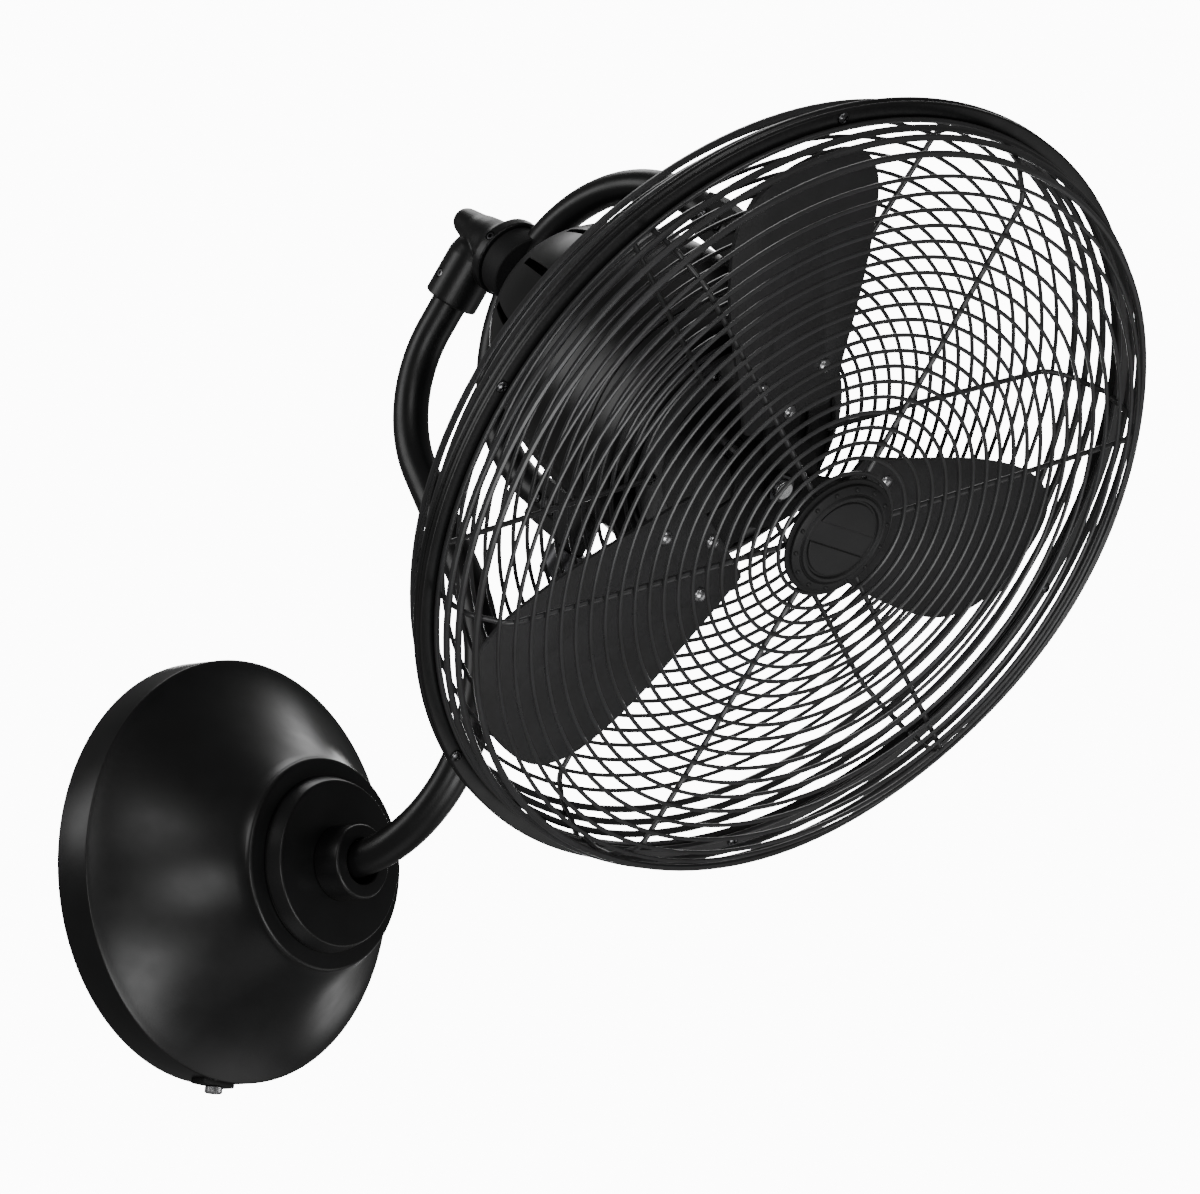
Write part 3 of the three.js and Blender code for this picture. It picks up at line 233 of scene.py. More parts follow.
def circle(count, radius=1.0):
    turns = [2 * math.pi / count * k for k in range(count)]
    return [(radius * math.cos(a), radius * math.sin(a)) for a in turns]


def grid_faces(rows, columns, wrap_rows, wrap_columns):
    faces = []
    for i in range(rows if wrap_rows else rows - 1):
        row = i * columns
        next_row = (i + 1) % rows * columns
        for k in range(columns if wrap_columns else columns - 1):
            after = (k + 1) % columns
            faces.append((row + k, row + after, next_row + after, next_row + k))
    return faces


class Form:
    """Points in millimetres and faces, gathered before they become one mesh."""

    def __init__(self):
        self.points = []
        self.faces = []

    def add(self, points, faces):
        start = len(self.points)
        self.points.extend(tuple(p) for p in points)
        self.faces.extend(tuple(start + i for i in face) for face in faces)
        return self

    def join(self, other):
        return self.add(other.points, other.faces)

    def lathe(self, profile, count=96, closed=True):
        """Turns (radius, height) pairs about z: a closed loop, or a line whose ends lie on the axis."""
        points = [(r * c, r * s, h) for r, h in profile for c, s in circle(count)]
        return self.add(points, grid_faces(len(profile), count, closed, True))

    def rod(self, radius, low, high, count):
        return self.lathe([(0, low), (radius, low), (radius, high), (0, high)], count, False)

    def ring(self, radius, station, wire, count=120, sides=8):
        return self.lathe([(radius + x, station + y) for x, y in circle(sides, wire)], count)

    def wavy_ring(self, radius, station, wire, wave, phase, count=144, sides=8):
        """A hoop drawn in a little where each spoke holds it."""
        points = []
        for x, y in circle(sides, wire):
            for k in range(count):
                turn = 2 * math.pi * k / count
                pull = wave * math.cos(SPOKE_COUNT * turn + phase)
                r = radius + x + pull
                points.append((r * math.cos(turn), r * math.sin(turn), station + y + pull * 0.6))
        return self.add(points, grid_faces(sides, count, True, True))

    def tube(self, path, radius, sides=12):
        """A round bar with flat ends along a path, carried without twist."""
        path = [Vector(p) for p in path]
        rows = []
        normal = None
        for i, point in enumerate(path):
            ahead = (path[min(i + 1, len(path) - 1)] - path[max(i - 1, 0)]).normalized()
            if normal is None:
                normal = ahead.orthogonal().normalized()
            normal = (normal - ahead * normal.dot(ahead)).normalized()
            across = ahead.cross(normal)
            rows.append([point + normal * x + across * y for x, y in circle(sides, radius)])
        faces = grid_faces(len(rows), sides, False, True)
        last = (len(rows) - 1) * sides
        faces.append(tuple(range(sides)))
        faces.append(tuple(last + k for k in range(sides)))
        return self.add([p for row in rows for p in row], faces)

    def block(self, low, high):
        xs, ys, zs = zip(low, high)
        corners = [(x, y, z) for x in xs for y in ys for z in zs]
        sides = [(0, 1, 3, 2), (4, 6, 7, 5), (0, 4, 5, 1), (2, 3, 7, 6), (0, 2, 6, 4), (1, 5, 7, 3)]
        return self.add(corners, sides)

    def prism(self, outline, low, high):
        count = len(outline)
        points = [(x, y, z) for z in (low, high) for x, y in outline]
        faces = [tuple(range(count)), tuple(range(count, 2 * count))]
        faces += [(k, (k + 1) % count, count + (k + 1) % count, count + k) for k in range(count)]
        return self.add(points, faces)

    def moved(self, matrix):
        self.points = [tuple(matrix @ Vector(p)) for p in self.points]
        return self


def made(name, form, place=WORLD, sharp=SHARP):
    """One object from a form: welded, faces turned out, smooth but for corners sharper than `sharp`."""
    mesh = bpy.data.meshes.new(name)
    mesh.from_pydata([place @ Vector(p) for p in form.points], [], form.faces)
    obj = bpy.data.objects.new(name, mesh)
    bpy.context.scene.collection.objects.link(obj)
    cleaned(obj, sharp)
    return obj


def cleaned(obj, sharp):
    edit = bmesh.new()
    edit.from_mesh(obj.data)
    bmesh.ops.remove_doubles(edit, verts=edit.verts, dist=2e-6)
    bmesh.ops.dissolve_degenerate(edit, edges=edit.edges, dist=1e-6)
    bmesh.ops.recalc_face_normals(edit, faces=edit.faces)
    edit.to_mesh(obj.data)
    edit.free()
    obj.data.shade_smooth()
    obj.data.set_sharp_from_angle(angle=math.radians(sharp))


def settled(obj, sharp=SHARP):
    """Makes an object's modifiers part of its mesh."""
    graph = bpy.context.evaluated_depsgraph_get()
    mesh = bpy.data.meshes.new_from_object(obj.evaluated_get(graph))
    obj.modifiers.clear()
    obj.data = mesh
    cleaned(obj, sharp)
    return obj


def combined(obj, tool, operation, sharp=SHARP):
    """Joins or cuts with a second object, which is then gone."""
    boolean = obj.modifiers.new("boolean", "BOOLEAN")
    boolean.operation = operation
    boolean.solver = "EXACT"
    boolean.object = tool
    bpy.context.view_layer.update()
    settled(obj, sharp)
    bpy.data.objects.remove(tool)
    return obj


def bevelled(obj, width, segments=3, angle=30):
    bevel = obj.modifiers.new("bevel", "BEVEL")
    bevel.width = width * MM
    bevel.segments = segments
    bevel.limit_method = "ANGLE"
    bevel.angle_limit = math.radians(angle)
    bpy.context.view_layer.update()
    return settled(obj)


def melted(obj, voxel, rounds, sharp=60):
    """Blends joined solids into one casting, with soft corners where they meet."""
    remesh = obj.modifiers.new("remesh", "REMESH")
    remesh.mode = "VOXEL"
    remesh.voxel_size = voxel * MM
    smooth = obj.modifiers.new("smooth", "SMOOTH")
    smooth.iterations = rounds
    smooth.factor = 0.5
    bpy.context.view_layer.update()
    return settled(obj, sharp)


def filleted(corners, steps=5, closed=True):
    """(radius, height, fillet) corners to a line with round corners."""
    count = len(corners)
    line = []
    for i, (r, h, fillet) in enumerate(corners):
        here = Vector((r, h))
        if fillet == 0 or (not closed and i in (0, count - 1)):
            line.append((r, h))
            continue
        before = (Vector(corners[i - 1][:2]) - here).normalized()
        after = (Vector(corners[(i + 1) % count][:2]) - here).normalized()
        half = before.angle(after) / 2
        reach = fillet / math.tan(half)
        centre = here + (before + after).normalized() * (fillet / math.sin(half))
        start = here + before * reach - centre
        end = here + after * reach - centre
        swept = start.angle(end)
        for k in range(steps + 1):
            t = k / steps
            point = centre + start * (math.sin((1 - t) * swept) / math.sin(swept))
            point += end * (math.sin(t * swept) / math.sin(swept))
            line.append((point.x, point.y))
    return line


def bent(corners, steps=16):
    """(point, bend) corners to a smooth path; the two ends have no bend."""
    path = [Vector(corners[0][0])]
    for i in range(1, len(corners) - 1):
        here = Vector(corners[i][0])
        bend = corners[i][1]
        before = (Vector(corners[i - 1][0]) - here).normalized()
        after = (Vector(corners[i + 1][0]) - here).normalized()
        half = before.angle(after) / 2
        centre = here + (before + after).normalized() * (bend / math.sin(half))
        start = here + before * (bend / math.tan(half)) - centre
        end = here + after * (bend / math.tan(half)) - centre
        swept = start.angle(end)
        for k in range(steps + 1):
            t = k / steps
            point = centre + start * (math.sin((1 - t) * swept) / math.sin(swept))
            path.append(point + end * (math.sin(t * swept) / math.sin(swept)))
    path.append(Vector(corners[-1][0]))
    return path


def curve_points(start, first, second, end, steps):
    """A cubic curve's points, without its start."""
    out = []
    for k in range(1, steps + 1):
        t = k / steps
        u = 1 - t
        weights = (u ** 3, 3 * u * u * t, 3 * u * t * t, t ** 3)
        corners = (start, first, second, end)
        out.append(tuple(sum(w * p[axis] for w, p in zip(weights, corners)) for axis in (0, 1)))
    return out


def at_angle(degrees, radius, station):
    """A point round the fan's axis, clockwise from the top as seen from the front."""
    turn = math.radians(degrees)
    return Vector((radius * math.sin(turn), radius * math.cos(turn), station))


def round_angles(count, phase=0.0):
    return [phase + 360 * k / count for k in range(count)]


TO_MINUS_X = Matrix.Rotation(math.radians(-90), 4, "Y")
TO_PLUS_Y = Matrix.Rotation(math.radians(-90), 4, "X")
TO_MINUS_Y = Matrix.Rotation(math.radians(90), 4, "X")


# ---- Materials ----------------------------------------------------------------------------------


def material(name, colour, roughness, metallic=0.0, specular=0.5):
    made_here = bpy.data.materials.new(name)
    made_here.use_nodes = True
    shader = made_here.node_tree.nodes["Principled BSDF"]
    shader.inputs["Base Color"].default_value = (*colour, 1)
    shader.inputs["Roughness"].default_value = roughness
    shader.inputs["Metallic"].default_value = metallic
    shader.inputs["Specular IOR Level"].default_value = specular
    return made_here, shader


def noise(tree, scale, detail=2.0, stretch=(1, 1, 1)):
    nodes = tree.nodes
    place = nodes.new("ShaderNodeTexCoord")
    mapping = nodes.new("ShaderNodeMapping")
    mapping.inputs["Scale"].default_value = stretch
    texture = nodes.new("ShaderNodeTexNoise")
    texture.inputs["Scale"].default_value = scale
    texture.inputs["Detail"].default_value = detail
    tree.links.new(place.outputs["Object"], mapping.inputs["Vector"])
    tree.links.new(mapping.outputs["Vector"], texture.inputs["Vector"])
    return texture.outputs["Fac"]


def vary(tree, shader, fac, socket, low, high):
    spread = tree.nodes.new("ShaderNodeMapRange")
    spread.inputs["From Min"].default_value = 0.3
    spread.inputs["From Max"].default_value = 0.7
    spread.inputs["To Min"].default_value = low
    spread.inputs["To Max"].default_value = high
    tree.links.new(fac, spread.inputs["Value"])
    tree.links.new(spread.outputs["Result"], shader.inputs[socket])


def tint(tree, shader, fac, dark, light):
    ramp = tree.nodes.new("ShaderNodeValToRGB")
    ramp.color_ramp.elements[0].position = 0.3
    ramp.color_ramp.elements[0].color = (*dark, 1)
    ramp.color_ramp.elements[1].position = 0.7
    ramp.color_ramp.elements[1].color = (*light, 1)
    tree.links.new(fac, ramp.inputs["Fac"])
    tree.links.new(ramp.outputs["Color"], shader.inputs["Base Color"])


def emboss(tree, shader, fac, strength, depth):
    bump = tree.nodes.new("ShaderNodeBump")
    bump.inputs["Strength"].default_value = strength
    bump.inputs["Distance"].default_value = depth * MM
    tree.links.new(fac, bump.inputs["Height"])
    tree.links.new(bump.outputs["Normal"], shader.inputs["Normal"])


def coating(name, shade, roughness, specular, grain, strength, depth=0.05):
    """A baked coat: faint mottling, slightly uneven gloss and the fine ripple of the powder."""
    paint, shader = material(name, (shade, shade, shade), roughness, specular=specular)
    tree = paint.node_tree
    fine = noise(tree, grain, 3)
    broad = noise(tree, 28, 2)
    tint(tree, shader, broad, (shade * 0.85,) * 3, (shade * 1.15, shade * 1.15, shade * 1.2))
    vary(tree, shader, noise(tree, 60, 3), "Roughness", roughness - 0.03, roughness + 0.04)
    emboss(tree, shader, fine, strength, depth)
    return paint


def metal(name, colour, roughness):
    """Plain metal with a gloss drawn out along one axis and a slightly uneven colour."""
    plate, shader = material(name, colour, roughness, metallic=1.0)
    tree = plate.node_tree
    vary(tree, shader, noise(tree, 500, 2, (1, 1, 8)), "Roughness", roughness - 0.06, roughness + 0.08)
    tint(tree, shader, noise(tree, 120, 2), tuple(c * 0.88 for c in colour), colour)
    return plate


SATIN = coating("satin_black", 0.007, 0.34, 0.5, 900, 0.10)
TEXTURED = coating("textured_black", 0.009, 0.62, 0.4, 1400, 0.5, 0.12)
# The wires' coat has a lighter base colour than the other black coat: painted sheen that stands in for the
# thin highlights along the wires.
WIRE = coating("wire_black_painted_sheen", 0.038, 0.30, 0.7, 700, 0.06)
BLADE = coating("blade_black", 0.028, 0.48, 0.4, 1100, 0.14)
PLASTIC = coating("badge_black", 0.014, 0.5, 0.4, 1000, 0.08)
STEEL = metal("bright_steel", (0.60, 0.60, 0.61), 0.24)
BLACKENED = metal("blackened_steel", (0.16, 0.16, 0.165), 0.22)
DARK_STEEL = metal("dark_steel", (0.10, 0.10, 0.105), 0.38)


def winding_material():
    core, shader = material("winding_core", (0.2, 0.09, 0.05), 0.45, metallic=0.8)
    tree = core.node_tree
    turns = tree.nodes.new("ShaderNodeTexWave")
    turns.inputs["Scale"].default_value = 300
    turns.inputs["Distortion"].default_value = 1.5
    place = tree.nodes.new("ShaderNodeTexCoord")
    tree.links.new(place.outputs["Object"], turns.inputs["Vector"])
    tint(tree, shader, turns.outputs["Fac"], (0.10, 0.045, 0.025), (0.32, 0.15, 0.07))
    emboss(tree, shader, turns.outputs["Fac"], 0.4, 0.3)
    return core


WINDING = winding_material()


def dress(obj, look, body, *nodes):
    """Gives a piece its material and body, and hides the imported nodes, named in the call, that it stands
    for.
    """
    obj.data.materials.clear()
    obj.data.materials.append(look)
    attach(obj, body)
    if nodes:
        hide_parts(*nodes)
    return obj


# ---- Canopy and arm -----------------------------------------------------------------------------


def canopy():
    bell = curve_points(
        (CANOPY_R - 1.6, RIM_HEIGHT + 1.0), (CANOPY_R - 17, RIM_HEIGHT + 8),
        (BELL_TOP_R + 13.5, CANOPY_HEIGHT - 34), (BELL_TOP_R, CANOPY_HEIGHT - 7), 24,
    )
    rim = filleted([
        (CANOPY_R - CANOPY_WALL, 0, 0.5),
        (CANOPY_R, 0, 0.5),
        (CANOPY_R, RIM_HEIGHT, 1.2),
        (CANOPY_R - 1.6, RIM_HEIGHT + 1.0, 0),
    ], 4, closed=False)
    step_r = BELL_TOP_R - 1
    top = filleted([
        (BELL_TOP_R, CANOPY_HEIGHT - 7, 0),
        (step_r + 0.2, CANOPY_HEIGHT - 4, 1.6),
        (step_r, CANOPY_HEIGHT, 2.4),
        (ARM_R + RUNNING, CANOPY_HEIGHT, 0.2),
        (ARM_R + RUNNING, CANOPY_HEIGHT - CANOPY_WALL, 0.2),
        (step_r - 2 - CANOPY_WALL, CANOPY_HEIGHT - CANOPY_WALL, 0),
    ], 5, closed=False)
    inner = [(r - CANOPY_WALL * 0.9, h - CANOPY_WALL * 0.9) for r, h in reversed(bell)]
    inner.append((CANOPY_R - CANOPY_WALL, RIM_HEIGHT - 2))
    return made("canopy", Form().lathe(rim + bell + top[1:] + inner, 160), WALL, 32)


def canopy_pad():
    """The small pad under the rim that the thumb screw clamps."""
    form = Form().block(
        (-PAD_WIDTH / 2, -CANOPY_R - PAD_THICKNESS, THUMB_OUT - 7),
        (PAD_WIDTH / 2, -CANOPY_R + 1.6, THUMB_OUT + 5),
    )
    pad = bevelled(made("canopy_pad", form, WALL), 1.1)
    curve = made("pad_tool", Form().rod(CANOPY_R - SEAT, 0, 50, 160), WALL)
    return combined(pad, curve, "DIFFERENCE")


def thumb_screw():
    """A knurled head on a plain shank."""
    steps = THUMB_TEETH * 2
    profile = [(0, 0), (0.86, 0), (1, 0.14), (1, 0.86), (0.86, 1), (0, 1)]
    points = []
    for r, h in profile:
        for k in range(steps):
            turn = math.pi * k / THUMB_TEETH
            radius = r * THUMB_R * (1 if k % 2 or r < 1 else 0.93)
            points.append((radius * math.cos(turn), radius * math.sin(turn), h * THUMB_HEIGHT))
    form = Form().add(points, grid_faces(len(profile), steps, False, True))
    shank = filleted([
        (0, -THUMB_LENGTH, 0), (THUMB_SHANK_R, -THUMB_LENGTH, 0.6), (THUMB_SHANK_R, 0.2, 0), (0, 0.2, 0),
    ], 3, closed=False)
    form.lathe(shank, 24, False)
    form.moved(Matrix.Translation((0, -CANOPY_R - PAD_THICKNESS - SEAT, THUMB_OUT)) @ TO_MINUS_Y)
    return made("thumb_screw", form, WALL, 20)


def flange():
    profile = filleted([
        (ARM_R + RUNNING, FLANGE_BACK, 0.2),
        (FLANGE_BASE_R, FLANGE_BACK, 0.8),
        (FLANGE_BASE_R, FLANGE_BACK + 2, 1.0),
        (FLANGE_TOP_R, FLANGE_FRONT, 1.6),
        (ARM_R + RUNNING, FLANGE_FRONT, 0.2),
    ], 6)
    return made("flange", Form().lathe(profile, 160), WALL)


def collar():
    profile = filleted([
        (ARM_R + RUNNING + SEAT, COLLAR_BACK, 0.2),
        (COLLAR_R, COLLAR_BACK, 0.5),
        (COLLAR_R, COLLAR_FRONT, 1.9),
        (COLLAR_MOUTH_R, COLLAR_FRONT, 1.2),
        (COLLAR_MOUTH_R, COLLAR_FRONT - 15, 0.5),
        (ARM_R + RUNNING + SEAT, COLLAR_FRONT - 15, 0.2),
    ], 6)
    return made("collar", Form().lathe(profile, 96), WALL)


def plane_point(pair):
    return Vector((0, pair[0], pair[1]))


def arm():
    fan_up = Vector((FAN_UP.y, FAN_UP.z))
    end = Vector(ARM_HIGH_CORNER) + fan_up * (TEE_RISE + SOCKET_RIM + 24)
    path = bent([
        (plane_point(ARM_START), 0),
        (plane_point(ARM_LOW_CORNER), ARM_LOW_BEND),
        (plane_point(ARM_HIGH_CORNER), ARM_HIGH_BEND),
        (plane_point(end), 0),
    ], 40)
    return made("arm", Form().tube(path, ARM_R, 40), WORLD)


dress(canopy(), SATIN, "mount", "canopy_shell")
dress(canopy_pad(), TEXTURED, "mount")
dress(thumb_screw(), STEEL, "mount", "canopy_thumb_screw")
dress(flange(), SATIN, "mount", "mounting_flange")
dress(collar(), SATIN, "mount", "arm_collar")
dress(arm(), SATIN, "mount", "arm_tube")


# ---- Screws -------------------------------------------------------------------------------------


def cross_recess(screw, radius, depth, top):
    """Cuts a screw's cross recess, one bar of the cross after the other."""
    half = radius * 0.13
    reach = radius * 0.62
    for x, y, extra in ((reach, half, 0), (half, reach, 0.01)):
        bar = Form().block((-x, -y, top - depth - extra), (x, y, top + 1 + extra))
        combined(screw, made("bar_tool", bar, WORLD), "DIFFERENCE", 35)
    return screw


def pan_head(name, radius, height, shank, length):
    """A pan-head screw with a cross recess; z points out of its head."""
    dome = [(radius * math.sin(a), height * math.cos(a)) for a in (math.pi / 2 * k / 8 for k in range(9))]
    profile = [(0, -length), (shank, -length), (shank, 0), (radius * 0.96, 0), (radius, height * 0.12)]
    profile += [(r, height * 0.12 + h * 0.88) for r, h in reversed(dome[1:-1])] + [(0, height)]
    screw = made(name, Form().lathe(profile, 28, False), WORLD, 35)
    return cross_recess(screw, radius, height * 0.8, height)


def placed_copy(pattern, name, matrix):
    copy = pattern.copy()
    copy.data = pattern.data.copy()
    copy.name = name
    bpy.context.scene.collection.objects.link(copy)
    copy.data.transform(matrix)
    return copy


def in_fan(local):
    """A matrix for a mesh that is already in metres, from its own frame to a place on the fan."""
    return FAN @ local @ Matrix.Scale(1 / MM, 4)


GUARD_SCREW = pan_head("guard_screw_pattern", 3.6, 2.0, 1.5, 10)
GRILLE_SCREW = pan_head("grille_screw_pattern", 3.6, 2.0, 1.8, 6.2)
YOKE_SCREW = pan_head("yoke_screw_pattern", 3.7, 2.0, 2.1, 9)


# ---- Tee and yoke -------------------------------------------------------------------------------


def tee_casting():
    barrel = [
        (0, HORN_TIP), (2.6, HORN_TIP + 0.3), (4.8, HORN_TIP + 1.3), (6.6, HORN_TIP + 3),
        (7.9, HORN_TIP + 5.4), (8.6, HORN_TIP + 8.5), (9.4, TEE - 16), (10.6, TEE - 10), (12.6, TEE - 4),
        (14.2, TEE + 3),
        (15.4, TEE_FLANGE_BACK - 10), (17.3, TEE_FLANGE_BACK - 4.5), (20.6, TEE_FLANGE_BACK - 1.6),
        (TEE_FLANGE_R, TEE_FLANGE_BACK), (TEE_FLANGE_R, TEE_FLANGE_FRONT), (0, TEE_FLANGE_FRONT),
    ]
    body = made("tee", Form().lathe(barrel, 72, False), FAN)
    socket_line = [
        (0, SOCKET_RIM), (SOCKET_R, SOCKET_RIM), (SOCKET_R, -14), (14.6, -7.5), (11.4, -2), (6.5, 2), (0, 4),
    ]
    at_tee = Matrix.Translation((0, 0, TEE)) @ TO_PLUS_Y
    socket = Form().lathe(socket_line, 64, False).moved(at_tee)
    combined(body, made("tee_tool", socket, FAN), "UNION")
    melted(body, 0.7, 10)
    bore = Form().rod(ARM_R + RUNNING, SOCKET_RIM - 5, -18, 48).moved(at_tee)
    bore.rod(SPIGOT_R + RUNNING, -305, -270, 40)
    bore.join(set_screw_hole(arm_set_screw_place(), 9))
    bore.join(set_screw_hole(yoke_set_screw_place(), 13))
    return combined(body, made("tee_tool", bore, FAN), "DIFFERENCE", 45)


def arm_set_screw_place():
    turn = Matrix.Rotation(math.radians(ARM_SET_SCREW_ANGLE), 4, "Y")
    out = Matrix.Translation((-SOCKET_R, 0, 0))
    return Matrix.Translation((0, ARM_SET_SCREW, TEE)) @ turn @ out @ TO_MINUS_X


def yoke_set_screw_place():
    turn = Matrix.Rotation(math.radians(YOKE_SET_SCREW_ANGLE), 4, "Z")
    out = Matrix.Translation((-TEE_FLANGE_R, 0, 0))
    return Matrix.Translation((0, 0, YOKE_SET_SCREW)) @ turn @ out @ TO_MINUS_X


def set_screw_hole(place, depth):
    return Form().rod(SET_SCREW_R + 0.5, -depth, 3, 20).moved(place)


def set_screw(name, place, length):
    """A headless screw with a hexagon socket."""
    line = filleted([
        (0, -length, 0), (SET_SCREW_R, -length, 0.3), (SET_SCREW_R, -0.2, 0.5), (0, -0.2, 0),
    ], 3, closed=False)
    screw = made(name, Form().lathe(line, 32, False).moved(place), FAN)
    socket = Form().rod(1.35, -2.6, 1, 6).moved(place)
    return combined(screw, made(name + "_tool", socket, FAN), "DIFFERENCE")


def yoke_path():
    back = YOKE_BEND_STATION - YOKE_BEND
    bend = YOKE_BEND - 0.01  # a hair of straight tube is left between the two bends
    return bent([
        ((0, YOKE_BEND, YOKE_LEG_END), 0),
        ((0, YOKE_BEND, back), bend),
        ((0, -YOKE_BEND, back), bend),
        ((0, -YOKE_BEND, YOKE_LEG_END), 0),
    ], 36)


def yoke_hub():
    spigot_back = YOKE_HUB_BACK - SPIGOT_LENGTH
    profile = filleted([
        (0, spigot_back, 0), (SPIGOT_R, spigot_back, 0.8), (SPIGOT_R, YOKE_HUB_BACK, 0),
        (YOKE_HUB_R, YOKE_HUB_BACK, 0.8), (YOKE_HUB_R, YOKE_HUB_FRONT, 1.2), (0, YOKE_HUB_FRONT, 0),
    ], 4, closed=False)
    return made("yoke_hub_skin", Form().lathe(profile, 72, False), FAN)


def yoke_end(name, side):
    """The block at the end of a leg: a fork round the tube and a round nose for the pivot bolt."""
    tall = KNUCKLE_HALF_HEIGHT
    form = Form().block(
        (-KNUCKLE_R, side * YOKE_BEND - tall, FORK_BACK),
        (KNUCKLE_R, side * YOKE_BEND + tall, PIVOT_STATION),
    )
    end = made(name, form, FAN)
    at_pivot = Matrix.Translation((0, side * YOKE_BEND, PIVOT_STATION)) @ TO_PLUS_Y
    nose = Form().rod(KNUCKLE_R, -tall, tall, 48).moved(at_pivot)
    combined(end, made(name + "_tool", nose, FAN), "UNION")
    socket = Form().rod(YOKE_TUBE_R + SEAT / 2, FORK_BACK - 5, YOKE_LEG_END + SEAT, 48)
    socket.moved(Matrix.Translation((0, side * YOKE_BEND, 0)))
    combined(end, made(name + "_tool", socket, FAN), "DIFFERENCE")
    bore = Form().rod(PIVOT_R + SEAT, -20, 20, 32).moved(at_pivot)
    combined(end, made(name + "_tool", bore, FAN), "DIFFERENCE")
    return bevelled(end, 0.7, 3, 50)


def pivot_bolt(name, side):
    """A bolt with a round grip for a head, hollowed a little at its end."""
    top = PIVOT_HEAD_HEIGHT
    profile = filleted([
        (0, -PIVOT_LENGTH, 0), (PIVOT_R, -PIVOT_LENGTH, 0.6), (PIVOT_R, 0, 0),
        (PIVOT_HEAD_R, 0, 0.8), (PIVOT_HEAD_R, top, 1.6),
        (PIVOT_HEAD_R - 3, top, 0.6), (PIVOT_HEAD_R - 4, top - 1.2, 0.6), (0, top - 1.2, 0),
    ], 5, closed=False)
    turn = TO_PLUS_Y if side > 0 else TO_MINUS_Y
    seat = side * (YOKE_BEND + KNUCKLE_HALF_HEIGHT + SEAT)
    place = Matrix.Translation((0, seat, PIVOT_STATION)) @ turn
    return made(name, Form().lathe(profile, 48, False).moved(place), FAN)


def tee_and_yoke():
    dress(tee_casting(), SATIN, "tee", "tee_casting")
    dress(set_screw("arm_set_screw_skin", arm_set_screw_place(), 5), STEEL, "tee", "arm_set_screw")
    dress(set_screw("yoke_set_screw_skin", yoke_set_screw_place(), 15), DARK_STEEL, "tee", "yoke_set_screw")
    dress(yoke_hub(), TEXTURED, "yoke", "yoke_hub")
    dress(made("yoke_bow", Form().tube(yoke_path(), YOKE_TUBE_R, 36), FAN), SATIN, "yoke", "yoke_tube")
    for word, side in (("upper", 1), ("lower", -1)):
        dress(yoke_end(word + "_knuckle", side), TEXTURED, "yoke", word + "_yoke_end")
        dress(pivot_bolt(word + "_pivot", side), DARK_STEEL, "yoke", word + "_pivot_bolt")
        for i, station in enumerate(YOKE_SCREWS):
            place = Matrix.Translation((-YOKE_TUBE_R - 0.1, side * YOKE_BEND, station)) @ TO_MINUS_X
            name = f"{word}_yoke_screw_{i + 1}"
            dress(placed_copy(YOKE_SCREW, name + "_skin", in_fan(place)), BLACKENED, "yoke", name)


tee_and_yoke()


# ---- Motor --------------------------------------------------------------------------------------


def dome_radius(station, inset):
    reach = (station - DOME_CENTRE) / (DOME_LENGTH - inset)
    return DOME_BACK_R - inset + (MOTOR_R - DOME_BACK_R) * math.sqrt(max(0.0, 1 - reach * reach))


def dome_line(inset, steps=22):
    """(radius, station) pairs down the dome's back half, with one at each end of the vents."""
    back = DOME_LENGTH - inset
    stations = {DOME_CENTRE - back * math.cos(math.pi / 2 * k / steps) for k in range(steps + 1)}
    kept = [s for s in stations if all(abs(s - end) > 2.2 for end in (VENT_BACK, VENT_FRONT))]
    stations = sorted(kept + [VENT_BACK, VENT_FRONT])
    return [(dome_radius(s, inset), s) for s in stations]


def vented_skin(inset):
    """Points and faces of one skin of the dome, with the vents left open, and its columns' angles."""
    angles = []
    for start in round_angles(VENT_COUNT, VENT_PHASE):
        angles += [start - VENT_HALF_ANGLE, start + VENT_HALF_ANGLE]
        gap = 360 / VENT_COUNT - 2 * VENT_HALF_ANGLE
        angles += [start + VENT_HALF_ANGLE + gap * k / VENT_GAP_STEPS for k in range(1, VENT_GAP_STEPS)]
    line = [(0, DOME_CENTRE - DOME_LENGTH + inset)] + dome_line(inset)
    if inset == 0:
        line += [(MOTOR_R, SEAM - 0.6), (MOTOR_R - 0.6, SEAM)]
    else:
        line += [(MOTOR_R - inset, SEAM)] * 2  # twice, to match the rows of the outer skin's soft edge
    points = [at_angle(a, r, s) for r, s in line for a in angles]
    return points, line, angles


def motor_housing():
    form = Form()
    outer, line, angles = vented_skin(0)
    inner, _, _ = vented_skin(DOME_SHEET)
    columns = len(angles)
    form.points = [tuple(p) for p in outer + inner]
    shift = len(outer)
    per_vent = columns // VENT_COUNT

    def is_open(i, k):
        middle = (line[i][1] + line[i + 1][1]) / 2
        return k % per_vent == 0 and VENT_BACK < middle < VENT_FRONT

    for i in range(len(line) - 1):
        for k in range(columns):
            after = (k + 1) % columns
            quad = (i * columns + k, i * columns + after, (i + 1) * columns + after, (i + 1) * columns + k)
            if not is_open(i, k):
                form.faces.append(quad)
                form.faces.append(tuple(shift + n for n in reversed(quad)))
                continue
            form.faces.append((quad[0], quad[3], shift + quad[3], shift + quad[0]))
            form.faces.append((quad[1], quad[2], shift + quad[2], shift + quad[1]))
            if not is_open(i - 1, k):
                form.faces.append((quad[0], quad[1], shift + quad[1], shift + quad[0]))
            if not is_open(i + 1, k):
                form.faces.append((quad[3], quad[2], shift + quad[2], shift + quad[3]))
    last = (len(line) - 1) * columns
    for k in range(columns):
        after = (k + 1) % columns
        form.faces.append((last + k, last + after, shift + last + after, shift + last + k))
    return made("motor_dome", form, FAN, 34)


